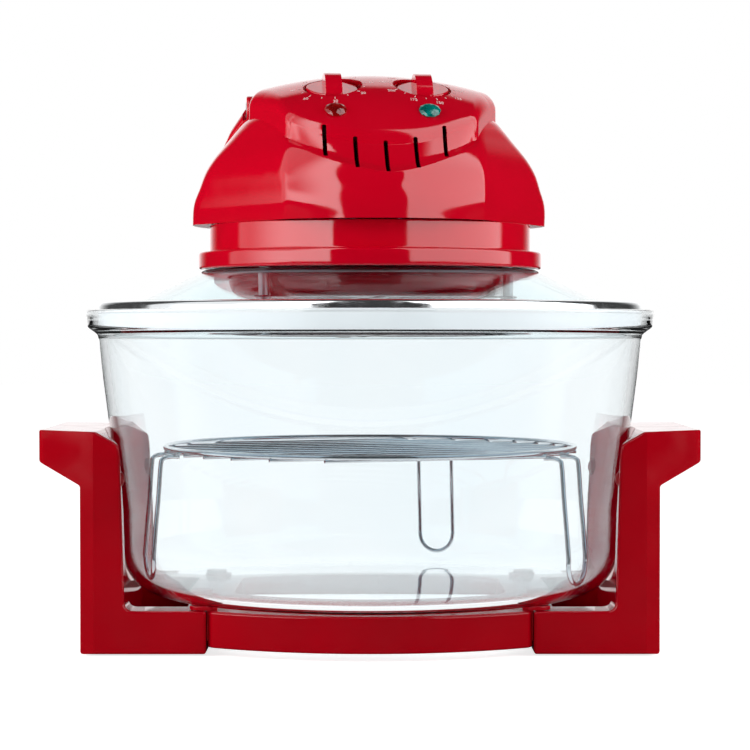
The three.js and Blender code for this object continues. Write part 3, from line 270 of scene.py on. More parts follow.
# A round bar along z, to be cut from a piece or joined to it
def round_tool(radius, start, end, matrix, sides=SMALL_SIDES):
    return new_object("tool", turned(bar(radius, start, end), sides), matrix)


def at(x, y, z=0):
    return Matrix.Translation((x, y, z))


# Gives a piece the mesh that its modifiers make of it
def settle(piece):
    graph = bpy.context.evaluated_depsgraph_get()
    made = bpy.data.meshes.new_from_object(piece.evaluated_get(graph))
    old = piece.data
    piece.modifiers.clear()
    piece.data = made
    bpy.data.meshes.remove(old)
    made.name = piece.name


def combine(piece, operation, tools):
    for tool in tools:
        modifier = piece.modifiers.new("combine", "BOOLEAN")
        modifier.operation = operation
        modifier.object = tool
        modifier.solver = "MANIFOLD"
    settle(piece)
    for tool in tools:
        mesh = tool.data
        bpy.data.objects.remove(tool)
        bpy.data.meshes.remove(mesh)


def cut(piece, tools):
    combine(piece, "DIFFERENCE", tools)


def join(piece, tools):
    combine(piece, "UNION", tools)


def keep_within(piece, tool):
    combine(piece, "INTERSECT", [tool])


def merge_flat(piece):
    with opened(piece.data) as work:
        bmesh.ops.remove_doubles(work, verts=work.verts, dist=TINY)
        bmesh.ops.dissolve_limit(work, angle_limit=FLAT, verts=work.verts, edges=work.edges)


def bevel(piece, width, segments, angle, clamp=True):
    modifier = piece.modifiers.new("bevel", "BEVEL")
    modifier.width = width * MM
    modifier.segments = segments
    modifier.limit_method = "ANGLE"
    modifier.angle_limit = math.radians(angle)
    modifier.miter_outer = "MITER_ARC"
    modifier.use_clamp_overlap = clamp
    settle(piece)


# Narrow bevels on the shallow upright edges, so that the faces beside them stay flat
def ease_upright_edges(piece, width):
    with opened(piece.data) as work:
        chosen = []
        for edge in work.edges:
            along = (edge.verts[1].co - edge.verts[0].co).normalized()
            if edge.is_manifold and abs(along.z) > UPRIGHT and edge.calc_face_angle() > SHALLOW:
                chosen.append(edge)
        bmesh.ops.bevel(
            work, geom=chosen, offset=width * MM, segments=1, profile=0.5, affect="EDGES", clamp_overlap=True
        )


# Gives a piece its shading, material and place in the model
def finish_piece(piece, body, look, stands_for=(), angle=35, weighted=False):
    piece.data.shade_smooth()
    piece.data.set_sharp_from_angle(angle=math.radians(angle))
    if weighted:
        modifier = piece.modifiers.new("shading", "WEIGHTED_NORMAL")
        modifier.keep_sharp = True
        settle(piece)
    piece.data.materials.clear()
    piece.data.materials.append(looks[look])
    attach(piece, body)
    if stands_for:
        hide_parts(*stands_for)


# Materials
def linear(code):
    colour = []
    for place in (0, 2, 4):
        part = int(code[place:place + 2], 16) / 255
        colour.append(((part + 0.055) / 1.055) ** 2.4 if part > 0.04045 else part / 12.92)
    return (*colour, 1)


class Tree:
    """The nodes of a material or a world, fed with numbers, colours or other nodes' outputs."""

    def __init__(self, owner):
        owner.use_nodes = True
        self.nodes = owner.node_tree.nodes
        self.links = owner.node_tree.links

    def feed(self, socket, value):
        if isinstance(value, bpy.types.NodeSocket):
            self.links.new(value, socket)
        else:
            socket.default_value = value

    def add(self, kind, inputs=(), **settings):
        node = self.nodes.new(kind)
        for name, value in settings.items():
            setattr(node, name, value)
        for name, value in dict(inputs).items():
            self.feed(node.inputs[name], value)
        return node

    def calc(self, operation, *values):
        return self.add("ShaderNodeMath", enumerate(values), operation=operation).outputs["Value"]

    def mix(self, kind, share, first, second):
        inputs = {"Factor": share, "A": first, "B": second}
        return self.add("ShaderNodeMix", inputs, data_type=kind).outputs["Result"]

    def ramp(self, value, limits, results=(0, 1), kind="SMOOTHSTEP"):
        inputs = {
            "Value": value, "From Min": limits[0], "From Max": limits[1],
            "To Min": results[0], "To Max": results[1],
        }
        return self.add("ShaderNodeMapRange", inputs, interpolation_type=kind).outputs["Result"]

    def split(self, place):
        return self.add("ShaderNodeSeparateXYZ", {"Vector": place}).outputs


class Look(Tree):
    """A material whose colour, roughness and fine relief vary over the surface."""

    def __init__(self, name):
        self.material = bpy.data.materials.new(name)
        super().__init__(self.material)
        self.shader = self.nodes["Principled BSDF"]
        self.place = self.add("ShaderNodeTexCoord").outputs["Object"]

    def noise(self, scale, detail=3):
        inputs = {"Vector": self.place, "Scale": scale, "Detail": detail}
        return self.add("ShaderNodeTexNoise", inputs).outputs["Fac"]

    def vary(self, value, lowest, highest):
        return self.ramp(value, NOISE_LIMITS, (lowest, highest), "LINEAR")

    def colours(self, value, first, second):
        mixed = self.mix("RGBA", self.vary(value, 0, 1), linear(first), linear(second))
        self.feed(self.shader.inputs["Base Color"], mixed)

    def roughness(self, value, lowest, highest):
        self.feed(self.shader.inputs["Roughness"], self.vary(value, lowest, highest))

    def relief(self, value, depth, strength):
        bump = self.add("ShaderNodeBump", {"Height": value, "Distance": depth, "Strength": strength})
        self.feed(self.shader.inputs["Normal"], bump.outputs["Normal"])

    def set(self, **values):
        for name, value in values.items():
            self.feed(self.shader.inputs[name.replace("_", " ")], value)

    # Lamps shine through, as they do through real glass
    def let_lamps_through(self, tint):
        shadow = self.add("ShaderNodeLightPath").outputs["Is Shadow Ray"]
        clear = self.add("ShaderNodeBsdfTransparent", {"Color": linear(tint)}).outputs["BSDF"]
        inputs = {"Fac": shadow, 1: self.shader.outputs["BSDF"], 2: clear}
        mixed = self.add("ShaderNodeMixShader", inputs).outputs["Shader"]
        self.feed(self.nodes["Material Output"].inputs["Surface"], mixed)


# A look from its noises: scale and two tones, scale and two roughnesses, then scale, detail, depth
# and strength of its relief
def varied(name, tones, shine, relief, lamp_tint=None, **sockets):
    look = Look(name)
    look.colours(look.noise(tones[0]), *tones[1:])
    look.roughness(look.noise(shine[0]), *shine[1:])
    scale, detail, depth, strength = relief
    look.relief(look.noise(scale, detail), depth * MM, strength)
    look.set(**sockets)
    if lamp_tint:
        look.let_lamps_through(lamp_tint)
    return look.material


def gloss_plastic(name, first, second, smooth=0.05, rough=0.1):
    return varied(name, (14, first, second), (45, smooth, rough), (260, 2, 0.03, 0.25), IOR=1.5)


def dull_plastic(name, first, second, smooth=0.45, rough=0.6, **sockets):
    sockets = {"IOR": 1.47, **sockets}
    return varied(name, (30, first, second), (120, smooth, rough), (1400, 4, 0.06, 0.6), **sockets)


# Rubber with a painted glow, which stands in for the light behind it that passes through
def milky(name, first, second, glow):
    return dull_plastic(
        name, first, second, 0.4, 0.55, IOR=1.41, Emission_Color=linear(first), Emission_Strength=glow
    )


def worked_metal(name, first, second, smooth, rough, depth=0.02, metallic=1):
    return varied(
        name, (40, first, second), (200, smooth, rough), (400, 3, depth, 0.4), Metallic=metallic
    )


def clear_glass(name, first, second, lamp_tint, rough=0.02):
    return varied(
        name, (9, first, second), (60, 0, rough), (24, 1, 0.02, 0.3), lamp_tint,
        IOR=1.47, Transmission_Weight=1,
    )


# Cut plastic that lets some light through, with a faint painted glow even all over it
def jewel(name, first, second, lamp_tint, glow):
    return varied(
        name, (220, first, second), (400, 0.03, 0.09), (900, 2, 0.03, 0.3), lamp_tint,
        IOR=1.5, Transmission_Weight=0.65, Emission_Color=linear(first), Emission_Strength=glow,
    )


looks = {
    "head_plastic": gloss_plastic("head_red", "cd0020", "c6001d"),
    # The stand's red is darker than the head's: painted shade, as the stand sits low where less light falls
    "stand_plastic": gloss_plastic("stand_red_shaded", "aa0012", "a00010", 0.06, 0.12),
    "bumper_rubber": dull_plastic("bumper_red", "9c0c16", "8a0912"),
    "foot_rubber": dull_plastic("foot_black", "1d1d1f", "262628", 0.7, 0.85),
    "bowl_glass": clear_glass("bowl_clear", "fafdfe", "f6fbfd", "fafcfd"),
    "lid_glass": clear_glass("lid_clear", "e9f3f5", "e4f0f2", "f2f8f9"),
    "heater_glass": clear_glass("heater_clear", "f3e6dd", "eedfd5", "f6ece6", 0.15),
    "red_lens": jewel("lens_red", "c81410", "900c10", "e06050", 0.02),
    "teal_lens": jewel("lens_teal", "00b4a8", "00706a", "50c0b8", 0.03),
    "rack_chrome": worked_metal("rack_chrome", "dfe1e4", "cfd2d6", 0.05, 0.12),
    "bolt_chrome": worked_metal("bolt_chrome", "ebe9e8", "dedcdb", 0.3, 0.42),
    "polished_steel": worked_metal("polished_steel", "d6d9db", "cccfd2", 0.07, 0.17, metallic=0.93),
    "zinc_steel": worked_metal("zinc_steel", "b4b8ba", "9fa4a7", 0.28, 0.42, 0.04),
    "aluminium": worked_metal("aluminium", "c4c7c9", "b6babc", 0.3, 0.4),
    "ceramic": dull_plastic("ceramic", "f0ece2", "e4dfd2", 0.55, 0.75),
    # The seal's glow is painted light, standing in for backlight passing through the silicone
    "silicone": milky("silicone", "eceded", "e4e6e7", 0.5),
    "white_plastic": dull_plastic("white_plastic", "e8e6df", "dedcd4"),
    "black_plastic": dull_plastic("black_plastic", "26262a", "2f2f33"),
}
# Two more finishes: the pan and guard take a darker, reddish copy of the rim's steel, which is painted shade
# and painted reflection of the red head above them; the dials' print is pale
shaded_reddish_steel = worked_metal("shaded_reddish_steel", "5c5152", "4a4142", 0.1, 0.22)
dial_white = dull_plastic("dial_white", "f0d6d6", "e8cccc", 0.35, 0.5)

# Camera at the photograph's viewing angle
LENS = 110.4
SENSOR_WIDTH = 36
CAMERA_PLACE = (0, -1348, 184)
CAMERA_AIM = (2.9, 0, 156.5)


# Puts a camera or lamp into the scene and points it
def place_and_aim(thing, place, aim):
    scene.collection.objects.link(thing)
    thing.location = Vector(place) * MM
    direction = Vector(aim) * MM - thing.location
    thing.rotation_euler = direction.to_track_quat("-Z", "Y").to_euler()


def make_camera():
    data = bpy.data.cameras.new("camera")
    data.lens = LENS
    data.sensor_width = SENSOR_WIDTH
    scene.camera = bpy.data.objects.new("camera", data)
    place_and_aim(scene.camera, CAMERA_PLACE, CAMERA_AIM)


make_camera()

# Studio: a white world behind, dark in front, with a tall soft box on each side for what shines.
# Pairs are degrees from the front, or above level, between which a part of it starts or ends
BOX_FRONT = (25.5, 26.5)
BOX_BACK = (104, 109)
BOX_TOP = (66, 74)
BOX_LIGHT = 3.6
LEFT_BOX_EXTRA = 1.9
LEFT_BOX_FADE = 4.2
FADE_BEYOND = (36, 64)
FADE_ABOVE = (8, 24)
FADE_WHOLE = (58, 98)
BACKDROP_SIDE = (140, 168)
BACKDROP_TOP = (40, 48)
BACKDROP_LIGHT = 1.2
DARK_LIGHT = 0.015
WHITE_BEHIND = (92, 150)
WHITE_THROUGH_GLASS = 1.14
BOX_THROUGH_GLASS = 0.75
DARK_THROUGH_GLASS = 0.08
GLASS_TINT = (0.72, 0.88, 1, 1)
WHITE = (1, 1, 1, 1)
DIFFUSE_LIGHT = 0.24


def make_world():
    scene.world = bpy.data.worlds.new("studio")
    tree = Tree(scene.world)
    calc = tree.calc

    def step(angle, limits):
        return tree.ramp(angle, [math.radians(limit) for limit in limits])

    x, y, z = tree.split(tree.add("ShaderNodeTexCoord").outputs["Generated"])
    azimuth = calc("ARCTAN2", calc("ABSOLUTE", x), calc("MULTIPLY", y, -1))
    elevation = calc("ARCSINE", z)
    inside = calc("SUBTRACT", step(azimuth, BOX_FRONT), step(azimuth, BOX_BACK))
    inside = calc("MULTIPLY", inside, calc("SUBTRACT", 1, step(elevation, BOX_TOP)))
    fading = calc("MULTIPLY", step(azimuth, FADE_BEYOND), step(elevation, FADE_ABOVE))
    fading = calc("MAXIMUM", fading, step(azimuth, FADE_WHOLE))
    on_left = calc("LESS_THAN", x, 0)
    fading = calc("MULTIPLY", fading, on_left)
    box = calc("SUBTRACT", BOX_LIGHT, calc("MULTIPLY", fading, LEFT_BOX_FADE))
    box = calc("ADD", box, calc("MULTIPLY", on_left, LEFT_BOX_EXTRA))
    below_top = calc("SUBTRACT", 1, step(elevation, BACKDROP_TOP))
    backdrop = calc("MULTIPLY", step(azimuth, BACKDROP_SIDE), below_top)
    shine = calc("ADD", calc("MULTIPLY", inside, box), calc("MULTIPLY", backdrop, BACKDROP_LIGHT))
    shine = calc("ADD", shine, DARK_LIGHT)
    behind = step(azimuth, WHITE_BEHIND)
    through = calc("MULTIPLY", inside, BOX_THROUGH_GLASS)
    through = calc("MAXIMUM", calc("MULTIPLY", behind, WHITE_THROUGH_GLASS), through)
    through = calc("MAXIMUM", through, DARK_THROUGH_GLASS)
    ray = tree.add("ShaderNodeLightPath").outputs
    straight = calc("SUBTRACT", 1, ray["Is Transmission Ray"])
    tint = tree.mix("RGBA", calc("MAXIMUM", straight, behind), GLASS_TINT, WHITE)
    strength = tree.mix("FLOAT", ray["Is Glossy Ray"], DIFFUSE_LIGHT, shine)
    strength = tree.mix("FLOAT", ray["Is Transmission Ray"], strength, through)
    strength = tree.mix("FLOAT", ray["Is Camera Ray"], strength, 1)
    background = tree.nodes["Background"]
    tree.feed(background.inputs["Color"], tint)
    tree.feed(background.inputs["Strength"], strength)


make_world()

# Lamps: place, width and height, watts
LAMP_AIM = (0, 0, 150)
LAMPS = {
    "left_box": ((-1500, -620, 650), (1200, 1000), 23),
    "right_box": ((1500, -620, 650), (1200, 1000), 20),
    "top_box": ((0, 100, 1700), (1600, 1600), 3),
}


def make_lamps():
    for name, (place, (width, height), power) in LAMPS.items():
        data = bpy.data.lights.new(name, "AREA")
        data.shape = "RECTANGLE"
        data.size = width * MM
        data.size_y = height * MM
        data.energy = power
        lamp = bpy.data.objects.new(name, data)
        place_and_aim(lamp, place, LAMP_AIM)
        lamp.visible_glossy = False
        lamp.visible_transmission = False
        lamp.visible_camera = False


make_lamps()

# Floor: white to the camera, dark to what mirrors it, and whiter through glass behind the oven's front
FLOOR_REACH = 6000
FLOOR_LEVEL = -0.2
FLOOR_COLOUR = (0.9, 0.9, 0.9, 1)
FLOOR_MIRRORED = (0.06, 0.06, 0.06, 1)
FLOOR_FRONT = (-340, -140)
FLOOR_THROUGH_GLASS = (0.05, 1.12)
FLOOR_GLOW = 0.79


def make_floor():
    reach = FLOOR_REACH
    outline = [(-reach, -reach), (reach, -reach), (reach, reach), (-reach, reach)]
    floor = new_object("floor", ([(x, y, FLOOR_LEVEL) for x, y in outline], [[0, 1, 2, 3]]))
    look = Look("floor_white")
    ray = look.add("ShaderNodeLightPath").outputs
    colour = look.mix("RGBA", ray["Is Glossy Ray"], FLOOR_COLOUR, FLOOR_MIRRORED)
    y = look.split(look.place)["Y"]
    backward = look.ramp(y, [limit * MM for limit in FLOOR_FRONT], FLOOR_THROUGH_GLASS)
    through = look.calc("MULTIPLY", ray["Is Transmission Ray"], backward)
    glow = look.calc("MULTIPLY_ADD", ray["Is Camera Ray"], FLOOR_GLOW, through)
    look.set(
        Base_Color=colour, Roughness=0.9, Specular_IOR_Level=0, Emission_Color=WHITE, Emission_Strength=glow
    )
    floor.data.materials.append(look.material)


make_floor()

# Stand: the bulging ring with its four lugs
RING_HALF_WIDTH = 91.7
RING_END_DEPTH = 60
RING_BULGE = 27
RING_WALL = 14
RING_LOW = 4.5
RING_TOP = 25.3
RING_END_ROUND = 4
RING_OPENING_ROUND = 10
RING_EDGE = 1.5
RING_STEPS = 56
STAND_DEPTH = 124
LUG_RADIUS = 7.25
LUG_X = 94.5
LUG_Y = 54.5
LUG_LOW = 25.6
LUG_TOP = 28
LUG_ROUNDS = (0, 0.4, 0.6, 0)
LUG_ROOT_WIDTH = 9
LUG_ROOT_DEPTH = 6
LUG_ROOT_LOW = RING_LOW + 4
STAND_SCREW_X = 98.3
SCREW_HOLE = 1.8


def ring_outline(half_width, end_depth, corner_round):
    radius = (half_width ** 2 + RING_BULGE ** 2) / (2 * RING_BULGE)
    centre = radius - RING_BULGE - end_depth
    corner = half_width - corner_round
    front = []
    for step in range(RING_STEPS + 1):
        x = -half_width * math.cos(math.pi * step / RING_STEPS)
        past = max(abs(x) - corner, 0)
        lost = corner_round - math.sqrt(max(corner_round ** 2 - past ** 2, 0))
        front.append((x, centre - math.sqrt(radius ** 2 - x ** 2) + lost))
    return front + [(-x, -y) for x, y in front]


def make_stand_ring():
    outside = ring_outline(RING_HALF_WIDTH, RING_END_DEPTH, RING_END_ROUND)
    inside = ring_outline(RING_HALF_WIDTH - RING_WALL, RING_END_DEPTH - RING_WALL, RING_OPENING_ROUND)
    ring = new_object("stand_ring_moulding", slab(outside, RING_LOW, RING_TOP))
    opening = new_object("tool", slab(inside, RING_LOW - OVERCUT, RING_TOP + OVERCUT))
    cut(ring, [opening])
    merge_flat(ring)
    bevel(ring, RING_EDGE, 4, 50)
    lug = turned(rounded(bar(LUG_RADIUS, LUG_LOW, LUG_TOP), LUG_ROUNDS), SMALL_SIDES)
    half = LUG_ROOT_WIDTH / 2
    lugs = []
    holes = []
    for side in SIDES.values():
        inner, outer = sorted((side * RING_HALF_WIDTH, side * (RING_HALF_WIDTH - LUG_ROOT_DEPTH)))
        for end in ENDS.values():
            y = end * LUG_Y
            root = box_between((inner, y - half, LUG_ROOT_LOW), (outer, y + half, LUG_TOP))
            lugs.append(new_object("tool", lug, at(side * LUG_X, y)))
            lugs.append(new_object("tool", root))
            place = at(side * STAND_SCREW_X, y)
            holes.append(round_tool(SCREW_HOLE, LUG_LOW - OVERCUT, LUG_TOP + OVERCUT, place))
    join(ring, lugs)
    cut(ring, holes)
    finish_piece(ring, "stand", "stand_plastic", ["stand_ring"], 35, True)


make_stand_ring()

# Bowl: its outside, which the brackets and bumpers follow
BOWL_CLEARANCE = 3
BOWL_FLAT = 121
BOWL_LOW = 30.6
BOWL_CORNER_REACH = 24
BOWL_CORNER_RISE = 27.4
BOWL_CORNER_Z = BOWL_LOW + BOWL_CORNER_RISE
BOWL_KNEE = (145.7, 79)
BOWL_WALL = (158.5, 180)


def bowl_radius_at(height):
    share = (height - BOWL_KNEE[1]) / (BOWL_WALL[1] - BOWL_KNEE[1])
    return BOWL_KNEE[0] + (BOWL_WALL[0] - BOWL_KNEE[0]) * max(share, 0)


# Side brackets
BRACKET_LOW = 1
FOOT_INNER = RING_HALF_WIDTH + GAP
GRIP_HEIGHT = 126.8
GRIP_TIP = 17.8
GRIP_ROOT_DROP = 13.4
GRIP_TOP_FALL = 0.9
GRIP_TAPER = 7.4
GRIP_TAPER_INSET = 7.6
GRIP_END_ROUND = 5
GRIP_REACH = 24
SHOULDER_WIDTH = 13
SHOULDER_DROP = 7.4
SHOULDER_INSET = 9
COLUMN_WIDTH = 22.6
COLUMN_DRAFT = 2.4
COLUMN_WALL = 7.9
COLUMN_OUTER = bowl_radius_at(GRIP_HEIGHT) + BOWL_CLEARANCE + COLUMN_WALL
COLUMN_INNER = COLUMN_OUTER - COLUMN_WIDTH
GRIP_OUTER = COLUMN_OUTER + GRIP_REACH
FOOT_FILLET = 5.5
BRACKET_ROUNDS = (0, 0, 2.2, 0, 0, 3, 6, 2, FOOT_FILLET, 0)
BRACKET_END_EDGE = 1.6
BRACKET_EDGE = 1.3
BRACKET_UPRIGHT_EDGE = 0.8
POCKET_INNER = 104
POCKET_HALF_DEPTH = 40
POCKET_FLOOR = 8
POCKET_TOP = RING_TOP + FOOT_FILLET + 1
SCREW_BORE = 3.6
SCREW_BORE_TOP = 17

BUMPER_RADIUS = 5
BUMPER_HEIGHT = 99
BUMPER_Y = 54
BUMPER_SINK = 1.2
BUMPER_STEM = 2.2
BUMPER_STEM_LENGTH = 5
BUMPER_TIP = bowl_radius_at(BUMPER_HEIGHT) + GAP
BUMPER_SEAT = bowl_radius_at(BUMPER_HEIGHT) + BOWL_CLEARANCE + BUMPER_SINK
BUMPER_ANGLE = math.asin(BUMPER_Y / BUMPER_TIP)
RUBBER_FOOT_RADIUS = 8
RUBBER_FOOT_X = 127.33
RUBBER_FOOT_Y = 46
RUBBER_FOOT_HIGH = 2.9
MIRROR = {"left": Matrix.Diagonal((-1, 1, 1, 1)), "right": Matrix.Identity(4)}


def bracket_outline():
    shoulder = COLUMN_OUTER - SHOULDER_INSET
    fall = GRIP_HEIGHT - GRIP_TOP_FALL
    points = [
        (FOOT_INNER, BRACKET_LOW),
        (COLUMN_OUTER, BRACKET_LOW),
        (COLUMN_OUTER, GRIP_HEIGHT - GRIP_TIP - GRIP_ROOT_DROP),
        (GRIP_OUTER, GRIP_HEIGHT - GRIP_TIP),
        (GRIP_OUTER, GRIP_HEIGHT),
        (shoulder, fall),
        (shoulder - SHOULDER_WIDTH, fall - SHOULDER_DROP),
        (COLUMN_INNER, fall - SHOULDER_DROP - SHOULDER_INSET / 2),
        (COLUMN_INNER - COLUMN_DRAFT, RING_TOP),
        (FOOT_INNER, RING_TOP),
    ]
    return rounded(points, BRACKET_ROUNDS, 6, True)


def bracket_plan():
    half = STAND_DEPTH / 2
    tip = half - GRIP_TAPER
    inner = FOOT_INNER - OVERCUT
    bend = COLUMN_OUTER - GRIP_TAPER_INSET
    front = [(inner, -half), (bend, -half), (GRIP_OUTER, -tip)]
    back = [(x, -y) for x, y in reversed(front)]
    return rounded(front + back, [0, 0, GRIP_END_ROUND, GRIP_END_ROUND, 0, 0], 8, True)


def bowl_room():
    reach = BOWL_CORNER_REACH + BOWL_CLEARANCE
    corner = corner_arc(BOWL_FLAT, BOWL_CORNER_Z, reach, BOWL_CORNER_RISE)
    return [
        (0, BOWL_LOW - GAP),
        (BOWL_FLAT, BOWL_LOW - GAP),
        *corner[1:],
        (BOWL_KNEE[0] + BOWL_CLEARANCE, BOWL_KNEE[1]),
        (BOWL_WALL[0] + BOWL_CLEARANCE, BOWL_WALL[1]),
        (0, BOWL_WALL[1]),
    ]


# Faces a piece made along z at the bowl's axis
def facing_bowl(end):
    turn = Matrix.Rotation(end * BUMPER_ANGLE, 4, "Z")
    return at(0, 0, BUMPER_HEIGHT) @ turn @ at(BUMPER_SEAT, 0) @ Matrix.Rotation(-math.pi / 2, 4, "Y")


# Room for a rubber foot, a screw with its head, and a bumper with its stem, at one end of a bracket
def bracket_cuts(mirror, end):
    foot = mirror @ at(RUBBER_FOOT_X, end * RUBBER_FOOT_Y)
    screw = mirror @ at(STAND_SCREW_X, end * LUG_Y)
    seat = mirror @ facing_bowl(end)
    return [
        round_tool(RUBBER_FOOT_RADIUS + GAP, -OVERCUT, RUBBER_FOOT_HIGH + GAP, foot, MID_SIDES),
        round_tool(SCREW_BORE, -OVERCUT, SCREW_BORE_TOP, screw),
        round_tool(SCREW_HOLE, 0, RING_TOP + OVERCUT, screw),
        round_tool(BUMPER_STEM + GAP, -BUMPER_STEM_LENGTH - GAP, OVERCUT, seat),
        round_tool(BUMPER_RADIUS + GAP, -GAP, BUMPER_SINK * 2, seat),
    ]


def make_brackets():
    half = STAND_DEPTH / 2
    pocket = box_between(
        (POCKET_INNER, -POCKET_HALF_DEPTH, POCKET_FLOOR),
        (COLUMN_INNER - COLUMN_DRAFT, POCKET_HALF_DEPTH, POCKET_TOP),
    )
    plan = slab(bracket_plan(), BRACKET_LOW - OVERCUT, GRIP_HEIGHT + OVERCUT)
    for side, mirror in MIRROR.items():
        name = f"bracket_{side}_moulding"
        bracket = new_object(name, slab(bracket_outline(), -half, half, "xzy"), mirror)
        bevel(bracket, BRACKET_END_EDGE, 4, 60, False)
        keep_within(bracket, new_object("tool", plan, mirror))
        cut(bracket, [new_object("tool", turned(bowl_room()))])
        cut(bracket, [new_object("tool", pocket, mirror)])
        merge_flat(bracket)
        bevel(bracket, BRACKET_EDGE, 3, 24)
        ease_upright_edges(bracket, BRACKET_UPRIGHT_EDGE)
        cut(bracket, bracket_cuts(mirror, -1) + bracket_cuts(mirror, 1))
        finish_piece(bracket, "stand", "stand_plastic", [f"side_bracket_{side}"], 35, True)


make_brackets()

# Bumpers in the brackets, pads under the bowl and feet under the stand
PAD_RADIUS = LUG_RADIUS - 1
PAD_LOW = LUG_TOP + GAP
PAD_TOP = PAD_LOW + 2
PAD_ROUNDS = (0, 0.3, 0.8, 0)
FOOT_DIMPLE = 0.5
FOOT_EDGE = 3
FOOT_EDGE_SLOPE = 0.4
FOOT_ROUNDS = (0, 0.2, 0.2, 0.8, 0.3, 0)


def make_small_stand_parts():
    rise = BUMPER_SEAT - BUMPER_TIP
    dome = [(radius, -height) for radius, height in corner_arc(0, 0, BUMPER_RADIUS, rise, 8)]
    bumper = turned([*bar(BUMPER_STEM, -BUMPER_STEM_LENGTH, 0)[:-1], *dome[::-1]], SMALL_SIDES)
    pad = turned(rounded(bar(PAD_RADIUS, PAD_LOW, PAD_TOP), PAD_ROUNDS), SMALL_SIDES)
    edge = RUBBER_FOOT_RADIUS - FOOT_EDGE
    points = [(0, FOOT_DIMPLE), (edge, FOOT_DIMPLE), (edge - FOOT_EDGE_SLOPE, 0)]
    points += bar(RUBBER_FOOT_RADIUS, 0, RUBBER_FOOT_HIGH)[1:]
    foot = turned(rounded(points, FOOT_ROUNDS), MID_SIDES)
    for side_name, side in SIDES.items():
        for end_name, end in ENDS.items():
            place = f"{end_name}_{side_name}"
            made = new_object(f"bumper_{place}", bumper, MIRROR[side_name] @ facing_bowl(end))
            finish_piece(made, "stand", "bumper_rubber", [f"wall_bumper_{place}"])
            made = new_object(f"pad_{place}", pad, at(side * LUG_X, end * LUG_Y))
            finish_piece(made, "stand", "bumper_rubber", [f"bowl_pad_{place}"])
            made = new_object(f"foot_{place}", foot, at(side * RUBBER_FOOT_X, end * RUBBER_FOOT_Y))
            finish_piece(made, "stand", "foot_rubber", [f"rubber_foot_{place}"])


make_small_stand_parts()

# Bowl: the whole glass, with a rounded rim band and a ledge inside it for the lid's seal
BOWL_GLASS = 4.6
BOWL_RIM_HIGH = 194.5
BOWL_RIM = 165.4
BOWL_LIP = 1.1
RIM_BAND = 9.9
RIM_BAND_DRAFT = 1
RIM_ROUNDS = (0, 1.5, 3, 2, 1.6, 0.9, 3, 0)
KNEE_ROUND = 60
BOWL_LEDGE = (158.9, 184.6)


def make_bowl():
    wall, glass, rise = BOWL_WALL, BOWL_GLASS, BOWL_CORNER_RISE
    outer = corner_arc(BOWL_FLAT, BOWL_CORNER_Z, BOWL_CORNER_REACH, rise, 16)
    inner = corner_arc(BOWL_FLAT, BOWL_CORNER_Z, BOWL_CORNER_REACH - glass, rise - glass, 16)
    rim_points = [
        wall,
        (wall[0] + BOWL_LIP, wall[1] + BOWL_LIP),
        (BOWL_RIM - RIM_BAND_DRAFT, BOWL_RIM_HIGH - RIM_BAND),
        (BOWL_RIM, BOWL_RIM_HIGH),
        (BOWL_LEDGE[0], BOWL_RIM_HIGH),
        BOWL_LEDGE,
        (wall[0] - glass + BOWL_LIP, BOWL_LEDGE[1]),
        (wall[0] - glass, wall[1]),
    ]
    rim = rounded(rim_points, RIM_ROUNDS, 6)
    outside = rounded([outer[-1], BOWL_KNEE, wall], [0, KNEE_ROUND, 0], 8)
    inside = [(radius - glass, height) for radius, height in reversed(outside)]
    profile = [(0, BOWL_LOW), *outer, *outside[1:-1], *rim, *inside[1:-1], *inner[::-1]]
    profile.append((0, BOWL_LOW + glass))
    bowl = new_object("bowl_glassware", turned(dense(profile), GLASS_SIDES))
    finish_piece(bowl, "bowl", "bowl_glass", ["glass_bowl"], 60)


make_bowl()

# Wire rack: a ring, a grid let into it from below, and three U-shaped legs
RACK_RADIUS = 119.4
RACK_Z = 115
RACK_TURN = math.radians(21)
RING_WIRE = 1.6
GRID_WIRE = 1.2
GRID_WIRES = 11
GRID_PITCH = RACK_RADIUS * 2 / (GRID_WIRES + 0.82)
GRID_SINK = 0.8
GRID_OVERLAP = 0.9
LEG_WIRE = 1.3
LEG_HALF_WIDTH = 11
LEG_START = 1.9
LEG_TOP_REACH = 8.5
LEG_FOOT_REACH = 12.2
LEG_BEND = 5
LEG_STEPS = 8
LEG_ANGLES = {"rack_leg_back": 19, "rack_leg_right": 120, "rack_leg_left": -109.5}


def make_rack_leg(name, angle):
    top = RACK_Z - RING_WIRE - GAP - LEG_WIRE
    foot_reach = RACK_RADIUS + LEG_FOOT_REACH
    top_reach = RACK_RADIUS + LEG_TOP_REACH
    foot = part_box(name)[0].z / MM + LEG_WIRE
    half = LEG_HALF_WIDTH
    down = [
        (RACK_RADIUS - LEG_START, top),
        (top_reach - LEG_BEND, top),
        (top_reach - LEG_BEND / 4, top - LEG_BEND / 4),
        (top_reach, top - LEG_BEND),
        ((top_reach * 2 + foot_reach) / 3, (top * 2 + foot) / 3),
        (foot_reach, foot + half + LEG_BEND),
    ]
    points = [Vector((reach, half, z)) for reach, z in down]
    for step in range(LEG_STEPS + 1):
        turn = math.pi * step / LEG_STEPS
        points.append(Vector((foot_reach, half * math.cos(turn), foot + half - half * math.sin(turn))))
    points += [Vector((reach, -half, z)) for reach, z in reversed(down)]
    turn = Matrix.Rotation(math.pi / 2 - math.radians(angle), 4, "Z")
    leg = new_object(f"{name}_wire", wire(smooth_line(points, 6), LEG_WIRE), turn)
    finish_piece(leg, "rack", "rack_chrome", [name], 50)


